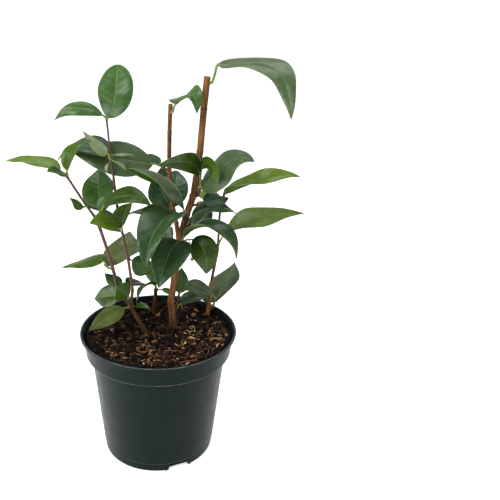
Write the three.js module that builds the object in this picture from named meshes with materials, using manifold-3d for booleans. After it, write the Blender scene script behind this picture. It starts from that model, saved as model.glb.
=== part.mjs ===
import * as THREE from 'three';
import { mergeVertices } from 'three/addons/utils/BufferGeometryUtils.js';
import Module from 'manifold-3d';

const wasm = await Module();
wasm.setup();

// Young camellia in a 150 mm nursery pot. Millimetres, +Z up, origin at the centre of the pot's underside,
// +X to the right and +Y away as the plant is seen from the front.

// Nursery pot
const RIM_RADIUS = 75;
const POT_HEIGHT = 128;
const LIP_HEIGHT = 2.2;
const LIP_WIDTH = 2.4;
const BAND_HEIGHT = 21;
const BAND_TOP_RADIUS = 72;
const BAND_FOOT_RADIUS = 70;
const BODY_TOP_RADIUS = 64.7;
const BODY_FOOT_RADIUS = 54.8;
const PLINTH_RADIUS = 53.6;
const PLINTH_HEIGHT = 9.5;
const BASE_ROUND = 2.6;
const WALL = 1.8;
const FLOOR = 2;
const FLOOR_SLOPE = 2;
const POT_SIDES = 54;
const NOTCHES = 3;
const NOTCH_WIDTH = 23;
const NOTCH_LEAN = 3.2;
const NOTCH_HEIGHT = 7.3;
const NOTCH_DEPTH = 6;
const NOTCH_TURN = -69.5;
const DRAIN_RADIUS = 3;

// Compost
const GAP = 0.35;
const SOIL_TOP = 121.6;
const SOIL_LUMP = 1.3;
const SOIL_BANK = 2.4;
const SOIL_RADIUS = BAND_TOP_RADIUS - WALL - 2.5 * GAP;
const SOIL_SIDES = 40;
const SOIL_RINGS = [0.2, 0.4, 0.58, 0.74, 0.88];

// Stems and leaves
const SINK = 12;
const CLEAR = 0.3;
const STEM_SIDES = 9;
const TWIG_SIDES = 6;
const NODE_SWELL = 1.1;
const STALK_RADIUS = 1;
const LEAF_THICK = 0.011;
const LEAF_THICK_LEAST = 0.7;
const STATIONS = [0.05, 0.17, 0.32, 0.47, 0.62, 0.77, 0.9];
const RIPPLES = 1.4;
const DEAL_TRIES = 8;
const DEAL_SWING = 9;
const LEAF_ROOM = 5.5;
const STEM_ROOM = 6;
const SEED = 4127;

// Edges shorter than this may be merged where solids are cut or joined
const FINEST = 0.03;

const RADIANS = Math.PI / 180;

// Unit vector from a compass turn (0 = +X, 90 = +Y) and a rise above level, both in degrees
function direction(turn, rise) {
  const t = turn * RADIANS;
  const r = rise * RADIANS;
  return new THREE.Vector3(Math.cos(r) * Math.cos(t), Math.cos(r) * Math.sin(t), Math.sin(r));
}

// Seeded numbers from 0 to 1
function dice(seed) {
  let state = seed;
  return () => {
    state = (Math.imul(state, 1664525) + 1013904223) >>> 0;
    return (state >>> 8) / 16777216;
  };
}

// Closed surface over rings of points, with one point closing each end. The second half of each ring is
// split along the other diagonals, so the two sides of a twisted leaf bend alike and stay apart.
function skin(rings, first, last) {
  const sides = rings[0].length;
  const points = [first, ...rings.flat(), last];
  const end = points.length - 1;
  const spot = (row, k) => 1 + row * sides + (k % sides);
  const index = [];
  for (let k = 0; k < sides; k += 1) {
    index.push(0, spot(0, k + 1), spot(0, k));
    for (let row = 0; row < rings.length - 1; row += 1) {
      const quad = [spot(row, k), spot(row, k + 1), spot(row + 1, k + 1), spot(row + 1, k)];
      if (k >= sides / 2) {
        quad.push(quad.shift());
      }
      const [a, b, c, d] = quad;
      index.push(a, b, c, a, c, d);
    }
    index.push(end, spot(rings.length - 1, k), spot(rings.length - 1, k + 1));
  }
  const geometry = new THREE.BufferGeometry();
  const places = points.flatMap((p) => [p.x, p.y, p.z]);
  geometry.setAttribute('position', new THREE.Float32BufferAttribute(places, 3));
  geometry.setIndex(index);
  return geometry;
}

function toSolid(geometry) {
  const bare = geometry.clone();
  bare.deleteAttribute('normal');
  bare.deleteAttribute('uv');
  const welded = mergeVertices(bare, 1e-4);
  const source = welded.index.array;
  const triangles = [];
  for (let i = 0; i < source.length; i += 3) {
    const [a, b, c] = [source[i], source[i + 1], source[i + 2]];
    if (a !== b && b !== c && c !== a) {
      triangles.push(a, b, c);
    }
  }
  return new wasm.Manifold(new wasm.Mesh({
    numProp: 3,
    vertProperties: new Float32Array(welded.attributes.position.array),
    triVerts: new Uint32Array(triangles),
    tolerance: FINEST,
  }));
}

function toGeometry(solid) {
  const mesh = solid.getMesh();
  const geometry = new THREE.BufferGeometry();
  geometry.setAttribute('position', new THREE.Float32BufferAttribute(mesh.vertProperties, 3));
  geometry.setIndex(new THREE.Uint32BufferAttribute(mesh.triVerts, 1));
  geometry.computeVertexNormals();
  return geometry;
}

function joined(solids) {
  return solids.reduce((sum, piece) => sum.add(piece));
}

// Round bar along a line of points, one radius at each point
function bar(points, radii, sides) {
  let across = null;
  const rings = points.map((point, i) => {
    const before = points[Math.max(i - 1, 0)];
    const after = points[Math.min(i + 1, points.length - 1)];
    const along = after.clone().sub(before).normalize();
    if (across === null) {
      across = Math.abs(along.x) < 0.8 ? new THREE.Vector3(1, 0, 0) : new THREE.Vector3(0, 1, 0);
    }
    across = across.clone().addScaledVector(along, -across.dot(along)).normalize();
    const other = along.clone().cross(across);
    const ring = [];
    for (let k = 0; k < sides; k += 1) {
      const angle = (2 * Math.PI * k) / sides;
      ring.push(point.clone()
        .addScaledVector(across, radii[i] * Math.cos(angle))
        .addScaledVector(other, radii[i] * Math.sin(angle)));
    }
    return ring;
  });
  return toSolid(skin(rings, points[0], points[points.length - 1]));
}

// Stems: `foot` is where the stem leaves the compost, or `fork` names the stem and height it leaves.
// Each step is one internode: its length, turn and rise. `thick` gives the radius at heights along it.
const STEMS = {
  main: {
    foot: [14.8, 13, SOIL_TOP],
    steps: [[29, 180, 83], [26, -15, 82], [39, -14, 84], [28, -17, 76], [19, -10, 72],
      [17, -25, 82], [26, -18, 83], [38, -22, 86], [28, -24, 85]],
    thick: [[-12, 4.8], [0, 3.8], [14, 3.3], [95, 3.2], [250, 2.9]],
  },
  second: {
    fork: ['main', 94],
    steps: [[17, 115, 67], [24, 120, 67], [31, 108, 78], [30, 87, 84], [26, 53, 87]],
    thick: [[0, 2.1], [128, 2]],
  },
  left: {
    foot: [-12.4, 2, SOIL_TOP],
    steps: [[32, 171, 62], [24, -170, 61], [32, -145, 77], [31, -152, 74], [15, -158, 69]],
    thick: [[-12, 2.8], [0, 2.2], [30, 1.8], [134, 1.4]],
  },
  inner: {
    fork: ['left', 32],
    steps: [[17, 43, 80], [30, 143, 81], [23, 154, 78], [30, 169, 80], [26, 180, 85], [10, 180, 83]],
    thick: [[0, 1.5], [136, 1.1]],
  },
  right: {
    foot: [49, 35, SOIL_TOP],
    steps: [[45, -16, 85], [30, 0, 81]],
    thick: [[-12, 2.5], [0, 2.1], [30, 1.7], [75, 1.4]],
  },
  short: {
    foot: [-5.3, 42, SOIL_TOP],
    steps: [[26, 0, 86]],
    thick: [[-12, 2.4], [0, 2.1], [26, 1.9]],
  },
};

function lookUp(table, at) {
  const last = table.length - 1;
  if (at <= table[0][0]) {
    return table[0][1];
  }
  for (let i = 0; i < last; i += 1) {
    const [a, b] = [table[i], table[i + 1]];
    if (at <= b[0]) {
      return a[1] + ((b[1] - a[1]) * (at - a[0])) / (b[0] - a[0]);
    }
  }
  return table[last][1];
}

// A line walked from its start: points with the distance of each along it
function walk(start, steps, sink) {
  const line = [{ at: 0, point: start.clone() }];
  for (const [length, turn, rise] of steps) {
    const last = line[line.length - 1];
    line.push({
      at: last.at + length,
      point: last.point.clone().addScaledVector(direction(turn, rise), length),
    });
  }
  if (sink > 0) {
    const down = direction(steps[0][1], steps[0][2]);
    line.unshift({ at: -sink, point: start.clone().addScaledVector(down, -sink) });
  }
  return line;
}

function pointOn(line, at) {
  let i = 0;
  while (i < line.length - 2 && at > line[i + 1].at) {
    i += 1;
  }
  const [a, b] = [line[i], line[i + 1]];
  return a.point.clone().lerp(b.point, (at - a.at) / (b.at - a.at));
}

function growStems() {
  const grown = {};
  for (const [name, stem] of Object.entries(STEMS)) {
    const start = stem.foot
      ? new THREE.Vector3(...stem.foot)
      : pointOn(grown[stem.fork[0]], stem.fork[1]);
    grown[name] = walk(start, stem.steps, stem.foot ? SINK : 0);
  }
  return grown;
}

// Bar over a walked line, swollen a little at each node, `extra` thicker than the stem itself
function stemBar(line, thick, extra, sides) {
  const points = [];
  const radii = [];
  line.forEach((spot, i) => {
    const radius = lookUp(thick, spot.at);
    const inside = i > 0 && i < line.length - 1;
    points.push(spot.point);
    radii.push(radius * (inside ? NODE_SWELL : 1) + extra);
    if (i < line.length - 1) {
      const next = line[i + 1];
      for (const part of [0.25, 0.75]) {
        const at = spot.at + (next.at - spot.at) * part;
        points.push(spot.point.clone().lerp(next.point, part));
        radii.push(lookUp(thick, at) + extra);
      }
    }
  });
  return bar(points, radii, sides);
}

// Half width of a leaf at part `s` of its length, as a share of its half width
function outline(s, { belly, point, blunt }) {
  return Math.sin(Math.PI * s ** belly) ** blunt * (1 - point * s ** 3);
}

// What a leaf has where its shoot says nothing else. It leaves its stem at `turn` and `rise`, bends down by
// `droop` over the share `hang` of its length and sideways by `sweep` over all of it, and is tipped to one
// side by `roll`, and by `twist` more at its tip. `fold` lifts both halves from the midrib. All these turns
// are in degrees. `long`, `wide`, `stalk` and `wave`, how far its margins ripple, are in millimetres, and
// `beat` shifts the ripple along it.
const LEAF = {
  droop: 40,
  bend: 1.5,
  hang: 1,
  sweep: 0,
  roll: 0,
  twist: 0,
  fold: 12,
  stalk: 7,
  belly: 0.78,
  point: 0.3,
  blunt: 0.8,
  wave: 0,
  beat: 0,
};

// How far above level a leaf points at part `s` of its length
function riseAlong(leaf, s) {
  return leaf.rise - leaf.droop * Math.min(s / leaf.hang, 1) ** leaf.bend;
}

// Where a leaf lies: its stalk, then its blade as stations of midrib, left edge and right edge
function layLeaf(foot, given) {
  const leaf = { ...LEAF, ...given };
  const stalk = [foot.clone()];
  const at = foot.clone();
  for (let i = 0; i < 3; i += 1) {
    const lift = Math.min(leaf.rise + 30 * (1 - (i + 0.5) / 3), 88);
    at.addScaledVector(direction(leaf.turn, lift), leaf.stalk / 3);
    stalk.push(at.clone());
  }
  const stops = [0, ...STATIONS, 1];
  const rows = [];
  stops.forEach((s, i) => {
    if (i > 0) {
      const middle = (s + stops[i - 1]) / 2;
      const go = direction(leaf.turn + leaf.sweep * middle, riseAlong(leaf, middle));
      at.addScaledVector(go, leaf.long * (s - stops[i - 1]));
    }
    const rise = riseAlong(leaf, s);
    const turn = leaf.turn + leaf.sweep * s;
    const along = direction(turn, rise);
    const up = direction(turn, rise + 90);
    const side = along.clone().cross(up);
    const r = (leaf.roll + leaf.twist * s) * RADIANS;
    const face = up.clone().multiplyScalar(Math.cos(r)).addScaledVector(side, Math.sin(r));
    const span = side.clone().multiplyScalar(Math.cos(r)).addScaledVector(up, -Math.sin(r));
    const half = (leaf.wide / 2) * outline(s, leaf);
    const fold = leaf.fold * RADIANS;
    const out = half * Math.cos(fold);
    const raise = half * Math.sin(fold);
    const ripple = leaf.wave * Math.sin(2 * Math.PI * (RIPPLES * s + leaf.beat)) * Math.sin(Math.PI * s);
    const edge = (sign) => at.clone()
      .addScaledVector(span, sign * out)
      .addScaledVector(face, raise + sign * ripple);
    rows.push({ s, face, middle: at.clone(), left: edge(-1), right: edge(1) });
  });
  return { leaf, stalk, rows };
}

// Closed body of a leaf: one skin from the foot of the stalk to the tip of the blade
function leafSolid({ leaf, stalk, rows }) {
  const thick = Math.max(LEAF_THICK * leaf.long, LEAF_THICK_LEAST);
  const slim = Math.min(STALK_RADIUS, leaf.long / 32 + 0.3);
  const rings = [];
  stalk.slice(0, -1).forEach((point, i) => {
    const along = stalk[i + 1].clone().sub(point).normalize();
    const level = direction(leaf.turn, 0).cross(new THREE.Vector3(0, 0, 1));
    const up = level.clone().cross(along);
    const radius = slim * (1.15 - 0.1 * i);
    rings.push([
      point.clone().addScaledVector(level, -radius),
      point.clone().addScaledVector(up, radius),
      point.clone().addScaledVector(level, radius),
      point.clone().addScaledVector(up, -radius),
    ]);
  });
  rows.slice(1, -1).forEach((row) => {
    const keel = thick * (1.25 - 0.5 * row.s) + slim * Math.max(0, 0.5 - 2 * row.s);
    const under = row.middle.clone().addScaledVector(row.face, -keel);
    rings.push([row.left, row.middle, row.right, under]);
  });
  return toSolid(skin(rings, stalk[0], rows[rows.length - 1].middle));
}

// Shoots: each is one mass of leaves. `on` names the stem that carries it and `at` how far up; with no `at`
// it goes on from the stem's tip. `steps` are its own spur or twig, and `thick` the radius of that.
// A leaf's `at` is how far up the spur or twig it sits; `dealt` adds leaves by rule toward the turns given.
const SHOOTS = {
  top_leaf: {
    on: 'main', at: 245, steps: [[9, -10, 74], [6, -10, 80]], thick: 1.1,
    leaves: [
      {
        at: 15, turn: -2, rise: 10, long: 102, wide: 38, droop: 62, bend: 2.6, hang: 0.67, sweep: -94,
        roll: 3, twist: 23, fold: 4, stalk: 2, belly: 0.39, point: 0.2, wave: 0.96, beat: -0.1,
      },
    ],
  },
  upper_spray: {
    on: 'main', at: 143, steps: [[8, -40, 75]], thick: 1.4,
    leaves: [
      {
        at: 8, turn: -114, rise: 69, long: 63, wide: 19, droop: 72, bend: 0.4, sweep: -28, roll: -86,
        fold: 16, stalk: 16, belly: 0.53, point: -0.3,
      },
      {
        at: 8, turn: -66, rise: 71, long: 39, wide: 13, droop: 166, bend: 1, sweep: 5, roll: -59,
        twist: -49, fold: 6, stalk: 18, belly: 0.97, point: -0.3,
      },
      {
        at: 2, turn: -27, rise: 50, long: 64, wide: 38, droop: 101, bend: 4.3, sweep: 4, roll: 50,
        twist: -20, fold: -5, stalk: 6,
      },
    ],
    dealt: [75],
  },
  right_leaf: {
    on: 'main', at: 133, steps: [[3, 0, 40]], thick: 1.1,
    leaves: [
      {
        at: 2, turn: 30, rise: -5, long: 30, wide: 19, droop: -5, bend: 0.5, sweep: 5, roll: 40,
        twist: -20, fold: 5,
      },
    ],
  },
  middle_spray: {
    on: 'main', at: 109, steps: [[4, 20, 55]], thick: 1.2,
    leaves: [
      {
        at: 4, turn: 5, rise: 65, long: 55, wide: 27, droop: 115, bend: 0.7, sweep: 10, roll: 5,
        fold: 7, stalk: 6,
      },
      {
        at: 2, turn: 60, rise: -30, long: 45, wide: 26, droop: -55, bend: 0.4, sweep: 10,
        roll: -15, fold: 9, stalk: 6,
      },
    ],
    dealt: [140],
  },
  front_spray: {
    on: 'main', at: 119, steps: [[5, -110, 60]], thick: 1.3,
    leaves: [
      {
        at: 5, turn: -120, rise: 16, long: 83, wide: 40, droop: 99, bend: 1.6, sweep: 6, fold: 26,
        stalk: 6,
      },
      {
        at: 2, turn: 200, rise: 97, long: 72, wide: 40, droop: 108, bend: 0.8, sweep: -34, roll: -29,
        twist: 76, fold: -25, stalk: 8, belly: 1, point: 0,
      },
    ],
  },
  low_spray: {
    on: 'main', at: 91, steps: [[6, -70, 60]], thick: 1.3,
    leaves: [
      {
        at: 6, turn: -27, rise: 54, long: 72, wide: 33, droop: 143, bend: 1.1, sweep: -6, roll: -5,
        fold: 19,
      },
      {
        at: 6, turn: -40, rise: 10, long: 39, wide: 27, droop: 115, bend: 0.6, sweep: -5, roll: 30,
        fold: 13, stalk: 14,
      },
      {
        at: 3, turn: -109, rise: 26, long: 66, wide: 37, droop: 80, bend: 0.7, sweep: -1, roll: -5,
        twist: -20, fold: 15, stalk: 8,
      },
    ],
  },
  fork_leaf: {
    on: 'main', at: 80, steps: [[3, 130, 40]], thick: 1,
    leaves: [
      {
        at: 2, turn: 105, rise: 15, long: 35, wide: 22, droop: 15, bend: 1.6, sweep: -5, roll: -60,
        twist: 20, fold: 18,
      },
    ],
  },
  foot_spray: {
    on: 'main', at: 17, steps: [[15, 45, 75]], thick: 1.2,
    leaves: [
      {
        at: 15, turn: 0, rise: 50, long: 41, wide: 20, droop: 115, bend: 0.7, sweep: -5, roll: 15,
        twist: -10, fold: 5, stalk: 8,
      },
      {
        at: 13, turn: 45, rise: 70, long: 27, wide: 18, droop: -30, bend: 1.3, roll: 20, fold: 11,
        stalk: 5,
      },
      { at: 2, turn: 35, rise: 20, long: 37, wide: 18, droop: 85, roll: 10, fold: 15, stalk: 6 },
    ],
    dealt: [110],
  },
  second_top_leaf: {
    on: 'second', at: 121, steps: [[3, -60, 60]], thick: 1.1,
    leaves: [
      {
        at: 3, turn: -74, rise: 25, long: 55, wide: 27, droop: 115, bend: 5.5, hang: 0.86, sweep: 18,
        roll: 19, twist: -6, fold: 17, stalk: 11, belly: 0.89, point: 0.5, wave: -2.8, beat: 0.54,
      },
    ],
  },
  back_leaf: {
    on: 'second', at: 68, steps: [[3, 180, 40]], thick: 1.1,
    leaves: [
      {
        at: 2, turn: 193, rise: 10, long: 75, wide: 35, droop: 8, bend: 1.3, sweep: -33, roll: -59,
        twist: 15, fold: 6, stalk: 11, belly: 0.83, point: 0.4,
      },
    ],
    dealt: [130],
  },
  second_low_spray: {
    on: 'second', at: 20, steps: [[5, 120, 60]], thick: 1.1,
    leaves: [
      {
        at: 4, turn: 115, rise: 35, long: 48, wide: 33, droop: -15, sweep: -25, roll: -20, fold: 5,
        stalk: 8,
      },
      {
        at: 5, turn: 80, rise: 50, long: 48, wide: 26, droop: 55, bend: 2.1, sweep: 5, roll: 15,
        fold: 7, stalk: 8,
      },
    ],
    dealt: [165],
  },
  left_low_leaf: {
    on: 'left', at: 78, steps: [[3, 180, 40]], thick: 1,
    leaves: [
      {
        at: 2, turn: 135, rise: 25, long: 51, wide: 24, droop: 49, bend: 0.4, hang: 0.45, sweep: 34,
        roll: -21, twist: 24, fold: -8, belly: 0.63, point: -0.1, wave: -0.2, beat: 0.49,
      },
    ],
  },
  left_foot_spray: {
    on: 'left', at: 31, steps: [[12, -110, 80]], thick: 1.2,
    leaves: [
      {
        at: 2, turn: -145, rise: -5, long: 40, wide: 18, droop: 20, bend: 0.7, roll: -30,
        twist: -10, fold: 7, stalk: 6,
      },
      {
        at: 12, turn: -110, rise: 45, long: 33, wide: 21, droop: 25, bend: 2.3, sweep: -5,
        roll: 60, twist: 15, fold: 17, stalk: 3,
      },
    ],
  },
  left_back_spray: {
    on: 'left', at: 42, steps: [[9, 95, 75]], thick: 1.1,
    leaves: [
      {
        at: 2, turn: 150, rise: -20, long: 40, wide: 23, droop: 10, bend: 2.1, sweep: -20,
        roll: -55, twist: -10, fold: 13, stalk: 4,
      },
      {
        at: 9, turn: 150, rise: 15, long: 21, wide: 15, droop: -20, bend: 1.6, sweep: -5,
        roll: -15, fold: 6, stalk: 4,
      },
      {
        at: 8, turn: 50, rise: 10, long: 26, wide: 21, droop: 55, bend: 0.9, sweep: -5, roll: 5,
        fold: 11, stalk: 5,
      },
    ],
    dealt: [100],
  },
  left_middle_spray: {
    on: 'left', at: 131, steps: [[5, 20, 60]], thick: 1.1,
    leaves: [
      {
        at: 5, turn: 102, rise: 30, long: 50, wide: 31, droop: 5, bend: 1.1, sweep: -15, roll: -25,
        twist: 20, fold: 9, stalk: 6,
      },
      {
        at: 4, turn: -25, rise: 50, long: 51, wide: 25, droop: 85, bend: 1.1, roll: 25, fold: 10,
        stalk: 8,
      },
      { at: 2, turn: 46, rise: 60, long: 20, wide: 13, droop: 30, roll: 20, stalk: 4 },
    ],
    dealt: [85],
  },
  left_tip_spray: {
    on: 'left', steps: [[15, -165, 58], [29, -159, 61]], thick: 1.1,
    leaves: [
      {
        at: 11, turn: -117, rise: -3, long: 25, wide: 9, droop: -54, bend: 0.4, sweep: -7, roll: 80,
        twist: 45, fold: 6, stalk: 5, belly: 1.02, point: 0.6,
      },
      {
        at: 44, turn: 154, rise: 16, long: 50, wide: 30, droop: 22, bend: 1, sweep: 18, roll: 6,
        twist: -16, fold: 14, stalk: 8, belly: 0.79, point: 0.6, wave: -0.5, beat: 0.44,
      },
      {
        at: 44, turn: 40, rise: 90, long: 38, wide: 18, droop: 95, bend: 1, sweep: -10, roll: 5,
        twist: -10, fold: 18, stalk: 5,
      },
      { at: 44, turn: -120, rise: 30, long: 25, wide: 13, droop: 25, roll: -35, fold: 10, stalk: 3 },
    ],
    dealt: [45],
  },
  inner_crown: {
    on: 'inner', steps: [[9, 180, 83], [25, 180, 86], [10, 180, 85]], thick: 0.9,
    leaves: [
      {
        at: 44, turn: 76, rise: -9, long: 60, wide: 31, droop: -65, bend: 0.5, hang: 0.56, sweep: 11,
        roll: 20, twist: -32, fold: 5, stalk: 5, belly: 1.3, point: -0.1, blunt: 0.55, wave: 0.7, beat: 0.21,
      },
      {
        at: 44, turn: -163, rise: 36, long: 46, wide: 15, droop: 90, bend: 1.1, sweep: -20, roll: -34,
        twist: -30, fold: -2, stalk: 5, belly: 0.79, point: 0.6, wave: 0.5, beat: 0.38,
      },
      {
        at: 11, turn: -166, rise: 27, long: 30, wide: 11, droop: -26, bend: 0.4, sweep: 16, roll: -88,
        fold: 19, stalk: 4, belly: 0.56,
      },
      {
        at: 11, turn: 10, rise: 5, long: 17, wide: 9, droop: 20, fold: 0, stalk: 4, point: 0,
      },
      { at: 7, turn: -135, rise: -45, long: 9, wide: 4, droop: 75, bend: 1.2, fold: 10, stalk: 4 },
      { at: 7, turn: -25, rise: -15, long: 14, wide: 7, droop: 50, fold: 10, stalk: 4 },
      {
        at: 5, turn: 148, rise: 48, long: 65, wide: 32, droop: 103, bend: 0.7, sweep: 5, roll: -15,
        fold: 11, stalk: 6,
      },
    ],
  },
  inner_middle_spray: {
    on: 'inner', at: 75, steps: [[4, -95, 60]], thick: 1,
    leaves: [
      {
        at: 4, turn: -120, rise: 55, long: 44, wide: 25, droop: 50, bend: 0.5, sweep: -15,
        roll: -45, fold: 13, stalk: 3,
      },
      { at: 4, turn: -50, rise: 85, long: 35, wide: 21, droop: 65, bend: 1.4, fold: 19, stalk: 3 },
    ],
  },
  inner_low_spray: {
    on: 'inner', at: 45, steps: [[3, 90, 50]], thick: 1,
    leaves: [
      {
        at: 3, turn: 105, rise: -10, long: 54, wide: 48, droop: -50, bend: 1.8, sweep: -30,
        roll: -30, twist: 45, fold: -5, stalk: 2,
      },
      {
        at: 2, turn: 25, rise: -45, long: 28, wide: 21, droop: -45, bend: 1.1, sweep: -5, roll: 50,
        twist: 40, fold: -3, stalk: 4,
      },
    ],
  },
  right_foot_leaf: {
    on: 'right', at: 8, steps: [[3, 30, 50]], thick: 1.1,
    leaves: [
      {
        at: 3, turn: 53, rise: 53, long: 60, wide: 38, droop: 33, bend: 0.5, hang: 0.6, sweep: 15,
        roll: -21, fold: 8, stalk: 4, belly: 0.94, point: 0.7, wave: -1.7, beat: 0.53,
      },
    ],
    dealt: [110],
  },
  right_crown: {
    on: 'right', steps: [[37, 0, 89], [23, 0, 80]], thick: 1.2,
    leaves: [
      {
        at: 4, turn: 37, rise: 39, long: 103, wide: 37, droop: 51, bend: 0.4, hang: 1.12, sweep: -20,
        roll: -12, twist: 50, fold: 6, stalk: 13, belly: 0.98, point: 0.8, wave: 3.6, beat: 0.28,
      },
      {
        at: 58, turn: 4, rise: 22, long: 76, wide: 34, droop: 48, bend: 4, sweep: -7, roll: -26,
        twist: 100, fold: 22, stalk: 2, belly: 0.35, point: 0.4, wave: -1.6, beat: 0.27,
      },
    ],
    dealt: [150, 110],
  },
  short_spray: {
    on: 'short', steps: [[3, 0, 86]], thick: 1,
    leaves: [
      {
        at: 2, turn: -140, rise: 65, long: 37, wide: 15, droop: 165, bend: 0.7, roll: 25,
        twist: 10, fold: 17, stalk: 5,
      },
      { at: 2, turn: 0, rise: -15, long: 17, wide: 11, bend: 1.6, roll: 10, fold: 8, stalk: 6 },
    ],
    dealt: [95],
  },
  short_low_leaf: {
    on: 'short', at: 5, steps: [[2, -155, 40]], thick: 0.9,
    leaves: [
      { at: 1, turn: -140, rise: 45, long: 19, wide: 10, droop: 50, bend: 1, roll: -20, fold: 7, stalk: 4 },
    ],
  },
};

// Line of a shoot's own twig or spur, which starts CLEAR of the stem that carries it
function shootLine(shoot, lines) {
  const line = lines[shoot.on];
  const [[, turn, rise]] = shoot.steps;
  if (shoot.at === undefined) {
    const tip = line[line.length - 1].point.clone();
    return walk(tip.addScaledVector(direction(turn, rise), CLEAR), shoot.steps, 0);
  }
  const along = pointOn(line, shoot.at + 1).sub(pointOn(line, shoot.at - 1)).normalize();
  const away = direction(turn, 0);
  away.addScaledVector(along, -away.dot(along)).normalize();
  const radius = lookUp(STEMS[shoot.on].thick, shoot.at) * NODE_SWELL;
  const start = pointOn(line, shoot.at).addScaledVector(away, radius + CLEAR + shoot.thick);
  return walk(start, shoot.steps, 0);
}

function nearest(points, others) {
  let least = Infinity;
  for (const p of points) {
    for (const q of others) {
      least = Math.min(least, p.distanceToSquared(q));
    }
  }
  return Math.sqrt(least);
}

function leafPoints(laid, from) {
  return laid.rows.slice(from).flatMap((row) => [row.middle, row.left, row.right]);
}

// Leaves of every shoot: the ones listed, then the ones dealt. A dealt leaf is turned a little further
// each time it comes too near another leaf or a stem, and left out after the last try.
function layShoots(lines) {
  const limbs = Object.values(lines).flatMap((line) => {
    const spots = [];
    for (let at = line[0].at; at <= line[line.length - 1].at; at += 4) {
      spots.push(pointOn(line, at));
    }
    return spots;
  });
  const shoots = Object.entries(SHOOTS).map(([name, shoot], i) => {
    const roll = dice(SEED + 97 * i);
    const line = shootLine(shoot, lines);
    const laid = shoot.leaves.map((leaf) => {
      const vary = { wave: leaf.long * (0.004 + 0.014 * roll()), beat: roll() };
      return layLeaf(pointOn(line, leaf.at), { ...vary, ...leaf });
    });
    return { name, shoot, line, laid, roll };
  });
  for (const one of shoots) {
    const reach = one.line[one.line.length - 1].at;
    for (const toward of one.shoot.dealt || []) {
      for (let attempt = 0; attempt < DEAL_TRIES; attempt += 1) {
        const roll = one.roll;
        const swing = (attempt % 2 === 0 ? 1 : -1) * DEAL_SWING * attempt;
        const long = 38 + 20 * roll();
        const leaf = {
          at: reach * (0.3 + 0.5 * roll()),
          turn: toward + swing + 12 * (roll() - 0.5),
          rise: 2 + 22 * roll(),
          long,
          wide: long * (0.44 + 0.08 * roll()),
          droop: 30 + 40 * roll(),
          roll: 24 * (roll() - 0.5),
          fold: 8 + 8 * roll(),
          stalk: 6,
          wave: long * 0.012,
          beat: roll(),
        };
        const laid = layLeaf(pointOn(one.line, leaf.at), leaf);
        const taken = shoots.flatMap((other) => other.laid.flatMap((q) => leafPoints(q, 0)));
        const open = nearest(leafPoints(laid, 3), taken) > LEAF_ROOM
          && nearest(leafPoints(laid, 2), limbs) > STEM_ROOM;
        if (open) {
          one.laid.push(laid);
          break;
        }
      }
    }
  }
  return shoots;
}

function shootSolid({ shoot, line, laid }) {
  const last = line[line.length - 1];
  const spots = line.map((spot) => spot.point);
  const radii = line.map((spot) => shoot.thick * (1 - (0.25 * spot.at) / last.at));
  const budTip = last.point.clone().addScaledVector(
    last.point.clone().sub(spots[spots.length - 2]).normalize(),
    2.2 * shoot.thick,
  );
  const twig = bar([...spots, budTip], [...radii, 0.35 * shoot.thick], TWIG_SIDES);
  return joined([twig, ...laid.map(leafSolid)]);
}

// Pot: rim band over a tapered body, with a plinth and notches round its foot
function potOutside() {
  const bandFoot = POT_HEIGHT - BAND_HEIGHT;
  return [
    [0, 0],
    [PLINTH_RADIUS - BASE_ROUND, 0],
    [PLINTH_RADIUS - BASE_ROUND * 0.3, BASE_ROUND * 0.3],
    [PLINTH_RADIUS, BASE_ROUND],
    [PLINTH_RADIUS + 0.4, PLINTH_HEIGHT - 0.8],
    [BODY_FOOT_RADIUS, PLINTH_HEIGHT],
    [BODY_TOP_RADIUS, bandFoot - 0.8],
    [BAND_FOOT_RADIUS - 0.5, bandFoot],
    [BAND_FOOT_RADIUS, bandFoot + 0.7],
    [BAND_TOP_RADIUS, POT_HEIGHT - LIP_HEIGHT - 0.6],
    [RIM_RADIUS - 0.5, POT_HEIGHT - LIP_HEIGHT],
    [RIM_RADIUS, POT_HEIGHT - LIP_HEIGHT / 2],
    [RIM_RADIUS - 0.5, POT_HEIGHT],
    [0, POT_HEIGHT],
  ];
}

function potInside() {
  const bandFoot = POT_HEIGHT - BAND_HEIGHT;
  return [
    [0, FLOOR],
    [PLINTH_RADIUS - WALL - 0.3 - FLOOR_SLOPE, FLOOR],
    [PLINTH_RADIUS - WALL - 0.3, FLOOR + FLOOR_SLOPE],
    [BODY_FOOT_RADIUS - WALL, PLINTH_HEIGHT],
    [BODY_TOP_RADIUS - WALL, bandFoot + 0.6],
    [BAND_FOOT_RADIUS - WALL, bandFoot + 2],
    [BAND_TOP_RADIUS - WALL, POT_HEIGHT - 1.6 * LIP_HEIGHT],
    [RIM_RADIUS - LIP_WIDTH, POT_HEIGHT - LIP_HEIGHT / 2],
    [RIM_RADIUS - 0.7 * LIP_WIDTH, POT_HEIGHT + 0.4],
    [0, POT_HEIGHT + 0.4],
  ];
}

function buildPot() {
  const full = lathe(potOutside(), POT_SIDES);
  const cavity = lathe(potInside(), POT_SIDES);
  const alcoves = joined(notchBoxes(WALL)).intersect(full);
  return full
    .subtract(cavity)
    .add(alcoves)
    .subtract(joined(notchBoxes(0)))
    .subtract(joined(drainHoles()));
}

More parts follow.
